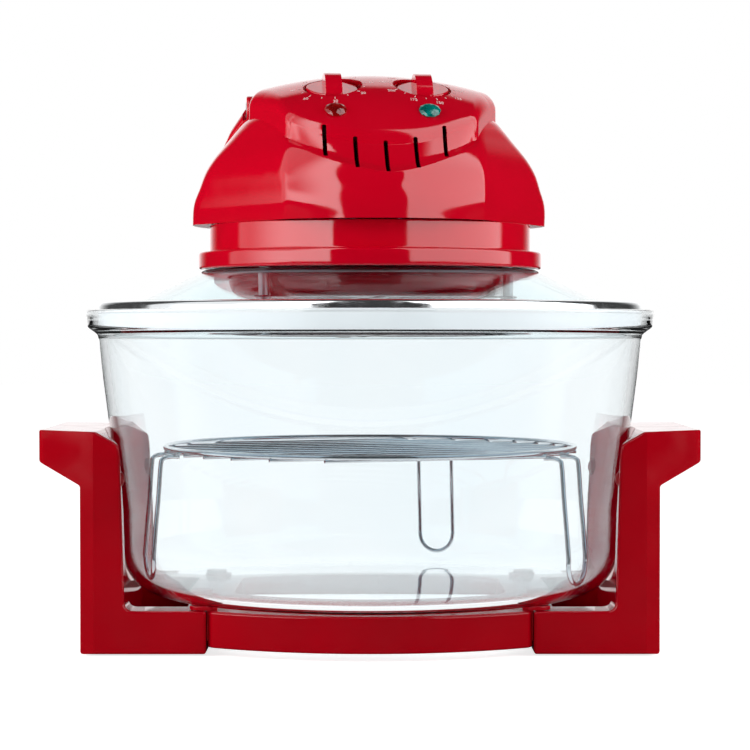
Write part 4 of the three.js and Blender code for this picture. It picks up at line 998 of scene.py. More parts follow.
def make_rack():
    ring = [Vector(ring_point(RACK_RADIUS, angle, RACK_Z)) for angle in around(TURN_SIDES)]
    rack = new_object("rack_wires", wire(ring, RING_WIRE, loop=True))
    wires = []
    level = RACK_Z - RING_WIRE - GRID_WIRE + GRID_SINK
    turn = Matrix.Rotation(RACK_TURN, 3, "Z")
    for index in range(GRID_WIRES):
        offset = (index - (GRID_WIRES - 1) / 2) * GRID_PITCH
        half = math.sqrt(RACK_RADIUS ** 2 - offset ** 2) + GRID_OVERLAP
        ends = [turn @ Vector((across, offset, level)) for across in (-half, half)]
        wires.append(new_object("tool", wire(ends, GRID_WIRE)))
    join(rack, wires)
    finish_piece(rack, "rack", "rack_chrome", ["rack_grid"], 50)
    for name, angle in LEG_ANGLES.items():
        make_rack_leg(name, angle)


make_rack()

# Lid: glass cone with a collar, steel rim, and the seal below both
LID_SEAT = 188.5
LID_RIM = 158.4
LID_SHEET = 0.8
LID_TOP = LID_SEAT + 10.7
LID_RIM_INNER = LID_RIM - 15.8
LID_RIM_FALL = 4.6
LID_GLASS_EDGE = (LID_RIM - 4.9, LID_SEAT + 2.4)
LID_COLLAR = (96, LID_SEAT + 2.4 + 26.9)
LID_COLLAR_WIDTH = 5
LID_GLASS = 3.8
LID_SLOPE = (LID_COLLAR[1] - LID_GLASS_EDGE[1]) / (LID_GLASS_EDGE[0] - LID_COLLAR[0])
LID_SLOPE_ANGLE = math.atan(LID_SLOPE)
CONE_ROUNDS = (0.8, 3, 1.2, 1.2, 3, 0.8)
RIM_SKIRT = 6.4
RIM_BULGE = ((0, 5), (0.5, 2.3), (1.4, 0.8), (3, 0.25), (8.4, 0))
SKIRT_ROUND = 0.3
OPENING_ROUND = 0.35
BULGE_ROUND = 3
BULGE_INNER_ROUND = 2
SEAL_ROOM = 0.8
SEAL_INSET = 0.1
SEAL_ROUNDS = (0.4, 0.4, 0.3, 0.6, 0.2, 0.1, 0.3, 0.4)


def cone_top_at(radius):
    return LID_COLLAR[1] - (radius - LID_COLLAR[0]) * LID_SLOPE


def rim_underside_at(radius):
    outer = LID_RIM - LID_SHEET - SEAL_ROOM
    fall = (radius - LID_RIM_INNER) / (outer - LID_RIM_INNER)
    return LID_TOP - LID_SHEET - fall * LID_RIM_FALL


def make_cone():
    slant = LID_GLASS * math.sin(LID_SLOPE_ANGLE)
    drop = LID_GLASS * math.cos(LID_SLOPE_ANGLE)
    opening = LID_COLLAR[0] - LID_COLLAR_WIDTH
    points = [
        (opening, LID_COLLAR[1]),
        LID_COLLAR,
        LID_GLASS_EDGE,
        (LID_GLASS_EDGE[0] - slant, LID_GLASS_EDGE[1] - drop),
        (LID_COLLAR[0] - slant / 2, LID_COLLAR[1] - LID_GLASS),
        (opening, LID_COLLAR[1] - LID_GLASS),
    ]
    cone = dense_ring(rounded(points, CONE_ROUNDS, 5, True))
    glass = new_object("lid_glassware", turned(cone, GLASS_SIDES, True))
    finish_piece(glass, "lid", "lid_glass", ["lid_glass"], 60)


def make_lid_rim():
    outside = [(LID_RIM - inset, LID_TOP - drop) for inset, drop in RIM_BULGE]
    under = [(radius - LID_SHEET * 0.6, height - LID_SHEET) for radius, height in outside]
    points = [
        (LID_RIM - LID_SHEET, LID_TOP - RIM_SKIRT),
        (LID_RIM, LID_TOP - RIM_SKIRT),
        *outside,
        (LID_RIM_INNER, LID_TOP),
        (LID_RIM_INNER, LID_TOP - LID_SHEET),
        *under[:0:-1],
    ]
    rounds = [SKIRT_ROUND] * 2 + [BULGE_ROUND] * len(outside)
    rounds += [OPENING_ROUND, SKIRT_ROUND] + [BULGE_INNER_ROUND] * (len(under) - 1)
    band = dense_ring(rounded(points, rounds, 5, True))
    rim = new_object("lid_rim_band", turned(band, GLASS_SIDES, True))
    finish_piece(rim, "lid", "polished_steel", ["lid_rim"], 40)


def make_seal():
    outer = LID_RIM - LID_SHEET - GAP
    edge = LID_GLASS_EDGE[0] + GAP
    inside = LID_RIM_INNER + SEAL_ROOM
    rise = GAP / math.cos(LID_SLOPE_ANGLE)
    bottom = BOWL_LEDGE[1] + GAP
    skirt_end = LID_TOP - RIM_SKIRT - GAP
    shoulder = outer - SEAL_ROOM
    points = [
        (inside, cone_top_at(inside) + rise),
        (edge, cone_top_at(edge) + rise),
        (edge, bottom),
        (LID_RIM - SEAL_INSET, bottom),
        (LID_RIM - SEAL_INSET, skirt_end),
        (outer, skirt_end),
        (shoulder, rim_underside_at(shoulder + GAP) - GAP),
        (inside, rim_underside_at(inside) - GAP),
    ]
    seal = new_object("lid_gasket", turned(rounded(points, SEAL_ROUNDS, 3, True), TURN_SIDES, True))
    finish_piece(seal, "lid", "silicone", ["lid_seal"], 40)


make_cone()
make_lid_rim()
make_seal()

# Head: base with its flange, neck and screw pillars
HEAD_LOW = 218.1
FLANGE_RADIUS = 100
FLANGE_TOP = 227.9
NECK_RADIUS = 93.5
NECK_TOP = 243.5
HEAD_WALL = 3
SHAFT_HOLE = 6
BASE_ROUNDS = (0.4, 1.6, 1.8, 1.2, 0.6, 0.4, 1.5, 0.4)
PILLAR_RADIUS = 5
PILLAR_CIRCLE = NECK_RADIUS - HEAD_WALL - PILLAR_RADIUS
PILLAR_ANGLES = (5, 115, 245)
PILLAR_ROOT = 1.5
PILLAR_INSET = 0.05
PILLAR_END = 4
BOLT_CIRCLE = 86.5
BOLT_RADIUS = 2.9
BOLT_ANGLES = {"guard_bolt_left": -49, "guard_bolt_right": 59, "guard_bolt_back": 185}
INLET_RADIUS = 5
INLET_Z = (FLANGE_TOP + NECK_TOP) / 2


# Places on a circle of the head, at an angle from the front towards +x
def around_front(radius, angle):
    turn = math.radians(angle)
    return to_head @ at(radius * math.sin(turn), -radius * math.cos(turn))


# Turns a piece made along z so that it points backward at the cord inlet
def at_inlet(reach):
    return to_head @ at(0, reach, INLET_Z) @ Matrix.Rotation(-math.pi / 2, 4, "X")


def bolt_holes(start, end):
    places = [around_front(BOLT_CIRCLE, angle) for angle in BOLT_ANGLES.values()]
    return [round_tool(BOLT_RADIUS + GAP, start, end, place) for place in places]


def make_head_base():
    inside = NECK_RADIUS - HEAD_WALL
    floor = HEAD_LOW + HEAD_WALL
    points = [
        (SHAFT_HOLE, HEAD_LOW), (FLANGE_RADIUS, HEAD_LOW), (FLANGE_RADIUS, FLANGE_TOP),
        (NECK_RADIUS, FLANGE_TOP), (NECK_RADIUS, NECK_TOP), (inside, NECK_TOP), (inside, floor),
        (SHAFT_HOLE, floor),
    ]
    profile = dense_ring(rounded(points, BASE_ROUNDS, 6, True))
    base = new_object("head_base_moulding", turned(profile, GLASS_SIDES, True), to_head)
    pillars = []
    cuts = []
    for angle in PILLAR_ANGLES:
        place = around_front(PILLAR_CIRCLE, angle)
        pillars.append(round_tool(PILLAR_RADIUS, HEAD_LOW + PILLAR_ROOT, NECK_TOP - PILLAR_INSET, place))
        cuts.append(round_tool(SCREW_BORE, HEAD_LOW - OVERCUT, NECK_TOP - PILLAR_END, place))
        cuts.append(round_tool(SCREW_HOLE, HEAD_LOW, NECK_TOP + OVERCUT, place))
    cuts += bolt_holes(HEAD_LOW - OVERCUT, floor + OVERCUT)
    cuts.append(round_tool(INLET_RADIUS + GAP, -HEAD_WALL - OVERCUT, OVERCUT, at_inlet(NECK_RADIUS)))
    join(base, pillars)
    cut(base, cuts)
    finish_piece(base, "lid", "head_plastic", ["head_base"], 40)


make_head_base()

# Head cover: dome with a nose between two creases, vent recess under a ridge, raised cap with the panel
COVER_LOW = 243.8
COVER_WALL = 2.8
COVER_FLOOR = 2
MOUTH_RADIUS = 78
DOME_RADIUS = 103.5
DOME_HEIGHT = 77
DOME_RADIUS_SHARES = (1, 0.998, 0.987, 0.966, 0.934, 0.892, 0.85, 0.805, 0.754, 0.705, 0.6, 0.42, 0.03)
DOME_HEIGHT_SHARES = (0, 0.112, 0.188, 0.26, 0.383, 0.48, 0.552, 0.623, 0.708, 0.779, 0.883, 0.965, 1)
CREASE_ACROSS = 55.5
CREASE_SOFTNESS = 0.35
SIDE_SOFTNESS = 2
NOSE_RADIUS = 77
NOSE_RISE = 34
NOSE_TURN = math.radians(50)
WING_TURN = math.radians(58)
WING_LIMIT = math.radians(80)
CAP_SIDE_TURN = math.radians(69.4)
CAP_SIDE_REACH = 73.2
CAP_SQUARENESS = 2.3
RIDGE_HEIGHT = 25
RIDGE_END_RISE = 19
RIDGE_CURVE = 1.6
RIDGE_LIMIT = 1.2
LEDGE_SLOPE = math.radians(30)
RECESS_FOOT = 3.2
RECESS_STOPS = 51.5
RECESS_GONE = 55.5
FACE_TOP = 61
CAP_HALF_WIDTH = 71.5
CAP_OFFSET = 18
CAP_FRONT = 64.5
CAP_BACK = 62
CAP_TOP = 331.3
CAP_ROUND = 8
CAP_FRONT_ROUND = 3.5
CAP_ROUND_STARTS = -66
CAP_ROUND_FULL = -30
CAP_SIDE_FALL = 11
PANEL_LENGTH = 95
PANEL_FALL = 70
PANEL_APEX = 5
PANEL_LIMIT = 0.99
HEART_HEIGHT = COVER_LOW + 20
LEDGE_SOFTNESS = 0.7
FACE_SOFTNESS = 0.8
FARTHEST = 160
SEARCH_STEPS = 36
RISES = np.linspace(RIDGE_HEIGHT, FACE_TOP, 240)[None, :]
LIFTS = np.radians(np.linspace(-8, 89.9, 900))
LAST_LIFT = math.pi / 2 - 0.002
LEAST_ROUNDING = 0.001
SECTION_STEPS = (26, 6, 14, 12, 26)
EVENNESS = 0.4
COVER_TURNS = 360
LINING_TURNS = 96
LINING_EXTRA = 0.6


def smooth_least(first, second, width):
    share = np.clip(0.5 + 0.5 * (second - first) / width, 0, 1)
    return second * (1 - share) + first * share - width * share * (1 - share)


def smooth_most(first, second, width):
    return -smooth_least(-first, -second, width)


# The dome's radius at a height above the cover's foot, as a smooth curve through the shares
def dome_curve():
    points = [Vector(pair) for pair in zip(DOME_RADIUS_SHARES, DOME_HEIGHT_SHARES)]
    line = smooth_line(points, 10)
    return (
        np.array([point.y for point in line]) * DOME_HEIGHT,
        np.array([point.x for point in line]) * DOME_RADIUS,
    )


DOME_CURVE = dome_curve()


def dome_radius_at(rise):
    return np.interp(rise, *DOME_CURVE)


# The dome's reach in plan: a tighter nose between the creases, a flat wing beside each, a round back
def dome_reach(rise, turns):
    radius = dome_radius_at(rise)
    share = np.clip(rise / NOSE_RISE, 0, 1)
    nose_radius = np.minimum(NOSE_RADIUS + (DOME_RADIUS - NOSE_RADIUS) * share, radius)
    centre = radius - nose_radius
    across = centre * np.sin(turns)
    nose = centre * np.cos(turns) + np.sqrt(np.maximum(nose_radius ** 2 - across ** 2, 0))
    forward = centre + np.sqrt(np.maximum(nose_radius ** 2 - CREASE_ACROSS ** 2, 0))
    crease = np.minimum(CREASE_ACROSS, radius * math.sin(WING_TURN))
    forward = np.maximum(forward, radius * math.cos(WING_TURN))
    apart = crease * math.sin(WING_TURN) + forward * math.cos(WING_TURN)
    wing = apart / np.cos(np.minimum(np.abs(np.abs(turns) - WING_TURN), WING_LIMIT))
    side = smooth_least(wing, radius, SIDE_SOFTNESS)
    nose = np.where(np.abs(turns) < NOSE_TURN, nose, radius + SIDE_SOFTNESS)
    return smooth_least(side, nose, CREASE_SOFTNESS)


def panel_height(x, y):
    along = np.clip((y - PANEL_APEX) / PANEL_LENGTH, -PANEL_LIMIT, PANEL_LIMIT)
    return CAP_TOP - PANEL_FALL * (1 - np.sqrt(1 - along ** 2)) - CAP_SIDE_FALL * (x / CAP_HALF_WIDTH) ** 2


def panel_slope(y):
    along = (y - PANEL_APEX) / PANEL_LENGTH
    return math.atan(PANEL_FALL / PANEL_LENGTH * -along / math.sqrt(1 - along ** 2))


# How far a point of the cap's plan lies inside its outline
def cap_inset(x, y):
    reach = np.where(y < -CAP_OFFSET, CAP_FRONT, CAP_BACK)
    share = np.abs(x / CAP_HALF_WIDTH) ** CAP_SQUARENESS + np.abs((y + CAP_OFFSET) / reach) ** CAP_SQUARENESS
    inset = (1 - share ** (1 / CAP_SQUARENESS)) * CAP_HALF_WIDTH
    side = CAP_SIDE_REACH - np.abs(x) * math.sin(CAP_SIDE_TURN) + y * math.cos(CAP_SIDE_TURN)
    return smooth_least(inset, side, CREASE_SOFTNESS)


def cap_round(y):
    return np.interp(y, (CAP_ROUND_STARTS, CAP_ROUND_FULL), (CAP_FRONT_ROUND, CAP_ROUND))


def cap_height(x, y):
    lost = np.clip(1 - cap_inset(x, y) / cap_round(y), 0, 1)
    return panel_height(x, y) - cap_round(y) * (1 - np.sqrt(1 - lost ** 2))


# The ridge rises from the middle of the nose to both creases
def ridge_rise(x):
    share = np.clip(np.abs(x) / CREASE_ACROSS, 0, RIDGE_LIMIT)
    return RIDGE_HEIGHT + RIDGE_END_RISE * share ** RIDGE_CURVE


# The farthest reach that is still inside, by halving
def last_inside(inside, shape, limit):
    nearest, farthest = np.zeros(shape), np.full(shape, float(limit))
    for _ in range(SEARCH_STEPS):
        middle = (nearest + farthest) / 2
        within = inside(middle)
        nearest = np.where(within, middle, nearest)
        farthest = np.where(within, farthest, middle)
    return nearest


# The vent face runs from just inside the ridge to the cap's edge: reach and height of both for each turn
def face_stops(turns):
    reaches = dome_reach(RISES, turns)
    first = np.argmax(RISES >= ridge_rise(reaches * np.sin(turns)), axis=1)[:, None]
    foot_reach = np.take_along_axis(reaches, first, 1) - RECESS_FOOT
    foot_height = COVER_LOW + np.take_along_axis(np.broadcast_to(RISES, reaches.shape), first, 1)
    ahead, across = -np.cos(turns), np.sin(turns)
    edge_reach = last_inside(
        lambda reach: cap_inset(reach * across, reach * ahead) > 0, turns.shape, DOME_RADIUS
    )
    edge_y = edge_reach * ahead
    edge_height = panel_height(edge_reach * across, edge_y) - cap_round(edge_y)
    return foot_reach, foot_height, edge_reach, np.maximum(edge_height, foot_height + 1)


class Rays:
    """Rays from the cover's heart: turn is the angle from the front, lift the angle above level."""

    def __init__(self, turns, lifts):
        self.turns, self.lifts = turns, lifts
        self.shape = np.broadcast(turns, lifts).shape

    def point(self, reach):
        across = reach * np.cos(self.lifts)
        height = HEART_HEIGHT + reach * np.sin(self.lifts)
        return across * np.sin(self.turns), -across * np.cos(self.turns), across, height

    def search(self, inside):
        return last_inside(lambda reach: inside(*self.point(reach)), self.shape, FARTHEST)

    def dome(self):
        def inside(x, y, across, height):
            rise = height - COVER_LOW
            return (across < dome_reach(rise, self.turns)) & (rise < DOME_HEIGHT)

        return self.search(inside)

    def ledge(self):
        foot_reach, foot_height, _, _ = face_stops(self.turns)
        steep = math.tan(LEDGE_SLOPE)
        return self.search(
            lambda x, y, across, height:
            height < foot_height + steep * (foot_reach + RECESS_FOOT - across)
        )

    def face(self):
        foot_reach, foot_height, edge_reach, edge_height = face_stops(self.turns)

        def inside(x, y, across, height):
            share = np.clip((height - foot_height) / (edge_height - foot_height), 0, 1)
            return (across < foot_reach + (edge_reach - foot_reach) * share) & (height < edge_height)

        return self.search(inside)

    # The recess fades out into the dome at both creases
    def below_cap(self, dome, ledge, face):
        recessed = smooth_most(smooth_least(dome, ledge, LEDGE_SOFTNESS), face, FACE_SOFTNESS)
        x, y, _, _ = self.point(dome)
        fading = np.clip((np.abs(x) - RECESS_STOPS) / (RECESS_GONE - RECESS_STOPS), 0, 1)
        fading = np.where(y < 0, fading * fading * (3 - 2 * fading), 1)
        return recessed + (dome - recessed) * fading

    def cap(self):
        return self.search(
            lambda x, y, across, height: (cap_inset(x, y) > 0) & (height < cap_height(x, y))
        )

    def rounding(self):
        return self.search(
            lambda x, y, across, height: (cap_inset(x, y) > cap_round(y)) & (height < cap_height(x, y))
        )


# Lifts at which each stretch of the cover's section starts: dome, slope, face, cap edge, panel, middle
def section_lifts(turns):
    rays = Rays(turns[:, None], LIFTS[None, :])
    dome, ledge, face, cap = rays.dome(), rays.ledge(), rays.face(), rays.cap()
    on_cap = cap >= rays.below_cap(dome, ledge, face)
    panel = rays.rounding()
    marks = []
    for row in range(len(turns)):
        cap_start = int(np.argmax(on_cap[row]))
        off_dome = (ledge[row] < dome[row])[:cap_start]
        ridge = int(np.argmax(off_dome)) if off_dome.any() else cap_start
        on_face = (face[row] > ledge[row])[:cap_start]
        foot = int(np.argmax(on_face)) if off_dome.any() and on_face.any() else cap_start
        foot = max(foot, ridge)
        panel_start = int(np.argmax(panel[row] >= cap[row] - LEAST_ROUNDING))
        panel_start = max(panel_start, cap_start)
        marks.append([LIFTS[ridge], LIFTS[foot], LIFTS[cap_start], LIFTS[panel_start]])
    return np.array(marks)


# Places along each stretch, closer together at both of its ends
def spread(start, end, steps):
    shares = (1 - np.cos(np.linspace(0, math.pi, steps + 1))) / 2
    shares = shares * (1 - EVENNESS) + np.linspace(0, 1, steps + 1) * EVENNESS
    return start + (end - start) * shares[:-1]


def cover_surface(turns, thinner, foot):
    marks = section_lifts(turns)
    columns = []
    for row, turn in enumerate(turns):
        radius = float(dome_reach(0, turn))
        start = math.atan2(foot - HEART_HEIGHT, radius)
        stops = [start, *marks[row], LAST_LIFT]
        stretches = zip(stops, stops[1:], SECTION_STEPS)
        columns.append(np.concatenate([spread(*stretch) for stretch in stretches]))
    lifts = np.array(columns)
    rays = Rays(turns[:, None], lifts)
    dome, ledge, face, cap = rays.dome(), rays.ledge(), rays.face(), rays.cap()
    reach = np.maximum(rays.below_cap(dome, ledge, face), cap) - thinner
    x, y, across, height = rays.point(reach)
    return np.stack([x, y, np.maximum(height, foot)], axis=-1)


def cover_shell(thinner, foot, turns):
    surface = cover_surface(turns, thinner, foot)
    count, steps, _ = surface.shape
    vertices = [tuple(point) for column in surface for point in column]
    faces = []
    for column in range(count):
        after = (column + 1) % count
        for step in range(steps - 1):
            here, there = column * steps + step, after * steps + step
            faces.append([here, there, there + 1, here + 1])
    top = len(vertices)
    summit = float(panel_height(np.array(0.0), np.array(0.0))) - thinner
    vertices += [(0, 0, summit), (0, 0, foot)]
    for column in range(count):
        after = (column + 1) % count
        faces.append([column * steps + steps - 1, after * steps + steps - 1, top])
        faces.append([after * steps, column * steps, top + 1])
    return vertices, faces


def even_turns(count):
    return np.linspace(-math.pi, math.pi, count, endpoint=False)


# Moves a piece made about z onto the sloping panel
def on_panel(x, y):
    height = float(panel_height(np.array(float(x)), np.array(float(y))))
    return to_head @ at(x, y, height) @ Matrix.Rotation(panel_slope(y), 4, "X")


# What meets the cover: knobs, lamps, vents and the handle's pivot with its bosses, hubs and pins
KNOB_X = 25.7
KNOB_Y = -40
KNOB_RADIUS = 14.8
KNOB_DISC = 3.4
KNOB_SINK = 1.4
KNOB_SHAFT = 3
KNOB_SIDES = 96
RECESS_RADIUS = 16.6
RECESS_DEPTH = KNOB_SINK + KNOB_DISC + GAP
RECESS_WALL = 2.4
RECESS_LIP = 0.2
RECESS_FLARE = 1.6
RECESS_REACH = 3
RECESS_ROUNDS = (0, 0.8, 1.2, 0, 0)
CUP_REACH = 8
LAMP_X = 26.3
LAMP_Y = -68
LENS_RADIUS = 6.2
LENS_STEM = 3.8
LENS_STEM_LENGTH = 9
LENS_REACH = 5
VENTS = 5
VENT_PITCH = 16.7
VENT_WIDTH = 2.4
VENT_HEIGHT = 18
VENT_LIFT = 0.3
VENT_SIDE_RISE = 9
VENT_FOOT_ROUND = 0.4
VENT_TOP_ROUND = VENT_WIDTH / 2 * 0.9
PIVOT_Y = 12
PIVOT_Z = 311
BOSS_FACE = 66
BOSS_RADIUS = 8
BOSS_DEPTH = 10
BOSS_EDGE = 1
HUB_INNER = BOSS_FACE + GAP
HUB_THICKNESS = 5.5
HUB_OUTER = HUB_INNER + HUB_THICKNESS
HUB_RADIUS = 9
HUB_ROUNDS = (0, 0.5, 1.4, 0)
PIN_RADIUS = 3
PIN_BORE_START = 34
PIN_HEAD = 5
PIN_HEAD_HEIGHT = 1.8
PIN_SLOT = 1.2
PIN_SLOT_DEPTH = 0.7
PIN_ROUNDS = (0, 0.3, 0, 0.2, 0.5, 0)
SCREW_BOSS_RADIUS = 4
SCREW_BOSS = (COVER_LOW + 1, COVER_LOW + 8.8)
SCREW_BOSS_HOLE = 6.3
MOUTH_DEPTH = 6


# Turns a piece made along z so that it points sideways at the handle's pivot
def at_pivot(side):
    return to_head @ at(0, PIVOT_Y, PIVOT_Z) @ Matrix.Rotation(side * math.pi / 2, 4, "Y")


# Handle: thin arms beside the dome that grow into a thicker bail behind it
ARM_AZIMUTHS = (18.1, 28.7, 40.7, 57.8, 90)
ARM_HEIGHT_SHARES = (0.82, 0.525, 0.262, 0.085, 0)
HANDLE_REAR = COVER_LOW + 6
HANDLE_CLEARANCE = 1.6
HANDLE_ROOM = 0.8
HANDLE_REACH = 120
HANDLE_SIDES = 28
HANDLE_SQUARENESS = 2.5
ARM_THICKNESS = 5.5
REAR_THICKNESS = 8
ARM_HEIGHT = 11
REAR_HEIGHT = 15


def between(start, end, share):
    return start + (end - start) * share


def handle_line():
    course = smooth_line([Vector(pair) for pair in zip(ARM_AZIMUTHS, ARM_HEIGHT_SHARES)], 5)
    arm = [Vector((HUB_INNER + HUB_THICKNESS / 2, PIVOT_Y, PIVOT_Z))]
    for index, (azimuth, share) in enumerate(course):
        thickness = between(ARM_THICKNESS, REAR_THICKNESS, index / (len(course) - 1))
        height = HANDLE_REAR + max(share, 0) * (PIVOT_Z - HANDLE_REAR)
        radius = float(dome_radius_at(height - COVER_LOW)) + HANDLE_CLEARANCE + thickness / 2
        arm.append(Vector(ring_point(radius, math.radians(azimuth), height)))
    left = [Vector((-point.x, point.y, point.z)) for point in arm[:-1]]
    return smooth_line(arm + left[::-1], 3)


def squared(value):
    return math.copysign(abs(value) ** (2 / HANDLE_SQUARENESS), value)


# The bail and its hubs, all grown by the same amount on every side
def handle_solid(name, grown):
    line = handle_line()
    lengths = [0]
    for before, after in zip(line, line[1:]):
        lengths.append(lengths[-1] + (after - before).length)
    rings = []
    for index, centre in enumerate(line):
        before, after = line[max(index - 1, 0)], line[min(index + 1, len(line) - 1)]
        along = (after - before).normalized()
        outward = Vector((centre.x, centre.y, 0)).normalized()
        outward = (outward - along * outward.dot(along)).normalized()
        across = along.cross(outward)
        rear = 1 - abs(2 * lengths[index] / lengths[-1] - 1)
        thick = between(ARM_THICKNESS, REAR_THICKNESS, rear) / 2 + grown
        tall = between(ARM_HEIGHT, REAR_HEIGHT, rear) / 2 + grown
        rings.append([
            centre + outward * thick * squared(math.cos(angle)) + across * tall * squared(math.sin(angle))
            for angle in around(HANDLE_SIDES)
        ])
    handle = new_object(name, skinned(rings), to_head)
    hub = rounded(bar(HUB_RADIUS + grown, HUB_INNER - grown, HUB_OUTER + grown), HUB_ROUNDS)
    hubs = [new_object("tool", turned(hub, MID_SIDES), at_pivot(side)) for side in SIDES.values()]
    join(handle, hubs)
    return handle


def vent_tool(index):
    middle = (VENTS - 1) / 2
    place = (index - middle) * VENT_PITCH
    start = COVER_LOW + RIDGE_HEIGHT + VENT_LIFT + VENT_SIDE_RISE * ((index - middle) / middle) ** 2
    end = start + VENT_HEIGHT
    half = VENT_WIDTH / 2
    points = [(place - half, start), (place + half, start), (place + half, end), (place - half, end)]
    outline = rounded(points, [VENT_FOOT_ROUND] * 2 + [VENT_TOP_ROUND] * 2, 6, True)
    return new_object("tool", slab(outline, -DOME_RADIUS * 1.2, -DOME_RADIUS / 2, "xzy"), to_head)


# The room that the handle needs beside the cover, above its lower half
def handle_room():
    room = handle_solid("tool", HANDLE_ROOM)
    half, reach = DOME_HEIGHT / 2, HANDLE_REACH
    upper = box_between((-reach, -reach, PIVOT_Z - half), (reach, reach, PIVOT_Z + half))
    keep_within(room, new_object("tool", upper))
    return room


def make_cover():
    cover = new_object("head_cover_moulding", cover_shell(0, COVER_LOW, even_turns(COVER_TURNS)), to_head)
    lining_shell = cover_shell(COVER_WALL + LINING_EXTRA, COVER_LOW + COVER_FLOOR, even_turns(LINING_TURNS))
    lining = new_object("tool", lining_shell, to_head)
    recess = rounded(
        [*bar(RECESS_RADIUS, -RECESS_DEPTH, RECESS_LIP)[:-1],
         (RECESS_RADIUS + RECESS_FLARE, RECESS_REACH), (0, RECESS_REACH)],
        RECESS_ROUNDS,
    )
    boss = rounded(bar(BOSS_RADIUS, BOSS_FACE - BOSS_DEPTH, BOSS_FACE), [0, 0, BOSS_EDGE, 0])
    deep = -RECESS_DEPTH - RECESS_WALL
    cups = []
    bosses = []
    cuts = []
    for side in SIDES.values():
        knob = on_panel(side * KNOB_X, KNOB_Y)
        lamp = on_panel(side * LAMP_X, LAMP_Y)
        pivot = at_pivot(side)
        cups.append(round_tool(RECESS_RADIUS + RECESS_WALL, deep, CUP_REACH, knob, MID_SIDES))
        bosses.append(new_object("tool", turned(boss, SMALL_SIDES), pivot))
        cuts.append(new_object("tool", turned(recess, KNOB_SIDES), knob))
        cuts.append(round_tool(KNOB_SHAFT + GAP, deep - OVERCUT, 0, knob))
        cuts.append(round_tool(LENS_STEM + GAP, -LENS_STEM_LENGTH, LENS_REACH, lamp))
        cuts.append(round_tool(PIN_RADIUS + GAP, PIN_BORE_START, BOSS_FACE + OVERCUT, pivot))
    cut(lining, cups)
    cut(cover, [lining])
    mouth = (MOUTH_RADIUS, COVER_LOW - OVERCUT, COVER_LOW + MOUTH_DEPTH)
    cut(cover, [round_tool(*mouth, to_head, TURN_SIDES)])
    for angle in PILLAR_ANGLES:
        place = around_front(PILLAR_CIRCLE, angle)
        bosses.append(round_tool(SCREW_BOSS_RADIUS, *SCREW_BOSS, place))
        cuts.append(round_tool(SCREW_HOLE, COVER_LOW - OVERCUT, COVER_LOW + SCREW_BOSS_HOLE, place))
    join(cover, bosses)
    cuts += [vent_tool(index) for index in range(VENTS)]
    cuts.append(handle_room())
    cut(cover, cuts)
    finish_piece(cover, "lid", "head_plastic", ["head_cover"], 30)


make_cover()

# Knobs: a disc sunk in its recess with a straight rounded grip
GRIP_WIDTH = 9.4
GRIP_RISE = 6.4
GRIP_SINK = 1
GRIP_INSET = 0.1
GRIP_EDGE = 1.3
GRIP_STEPS = 24
KNOB_SHAFT_LENGTH = 9
KNOB_ROUNDS = (0, 0.3, 0, 0.3, 0.9, 0)


def make_knob(name, side, body):
    bottom = -KNOB_SINK - KNOB_DISC
    place = on_panel(side * KNOB_X, KNOB_Y)
    shaft = bar(KNOB_SHAFT, bottom - KNOB_SHAFT_LENGTH, bottom)[:-1]
    disc = rounded([*shaft, *bar(KNOB_RADIUS, bottom, -KNOB_SINK)[1:]], KNOB_ROUNDS)
    knob = new_object(f"{name}_moulding", turned(disc, KNOB_SIDES), place)
    rise = GRIP_RISE + KNOB_SINK
    curve = (KNOB_RADIUS ** 2 + rise ** 2) / (2 * rise)
    span = math.asin(KNOB_RADIUS / curve)
    crest = []
    for step in range(GRIP_STEPS + 1):
        angle = span * (1 - 2 * step / GRIP_STEPS)
        crest.append((curve * math.sin(angle), curve * math.cos(angle) - curve + GRIP_RISE))
    foot = bottom + GRIP_SINK
    outline = [(-KNOB_RADIUS, foot), (KNOB_RADIUS, foot), *crest]
    grip = new_object("tool", slab(outline, -GRIP_WIDTH / 2, GRIP_WIDTH / 2, "yzx"), place)
    reach = KNOB_RADIUS - GRIP_INSET
    keep_within(grip, round_tool(reach, bottom, GRIP_RISE + OVERCUT, place, KNOB_SIDES))
    merge_flat(grip)
    bevel(grip, GRIP_EDGE, 4, 40)
    join(knob, [grip])
    finish_piece(knob, body, "head_plastic", [name], 40, True)


make_knob("timer_knob", SIDES["left"], "timer_dial")
make_knob("thermostat_knob", SIDES["right"], "thermostat_dial")

# Dials: plain ticks and numbers printed round each recess, every second tick longer
PRINT_LIFT = 0.05
PRINT_THICKNESS = 0.12
TICK_START = 18
TICK_LENGTHS = (1.65, 1.1)
TICK_WIDTH = 0.42
NUMBER_RADIUS = 22.3
NUMBER_SIZE = 3.6
NUMBER_NARROWNESS = 0.82
TIMER_NUMBERS = (0, 10, 20, 30, 40, 50, 60)
TIMER_TURNS = (40, 320)
HEAT_NUMBERS = (65, 100, 125, 150, 175, 200, 225, 250)
HEAT_TURNS = (45, 315)


def number_print(text, across, up):
    curve = bpy.data.curves.new("number", "FONT")
    curve.body = text
    curve.size = NUMBER_SIZE * MM
    curve.align_x = "CENTER"
    curve.align_y = "CENTER"
    curve.extrude = PRINT_THICKNESS * MM / 2
    curve.resolution_u = 4
    letters = bpy.data.objects.new("number", curve)
    scene.collection.objects.link(letters)
    graph = bpy.context.evaluated_depsgraph_get()
    mesh = bpy.data.meshes.new_from_object(letters.evaluated_get(graph))
    bpy.data.objects.remove(letters)
    bpy.data.curves.remove(curve)
    narrow = Matrix.Diagonal((NUMBER_NARROWNESS, 1, 1, 1))
    mesh.transform(at(across * MM, up * MM) @ narrow)
    return mesh


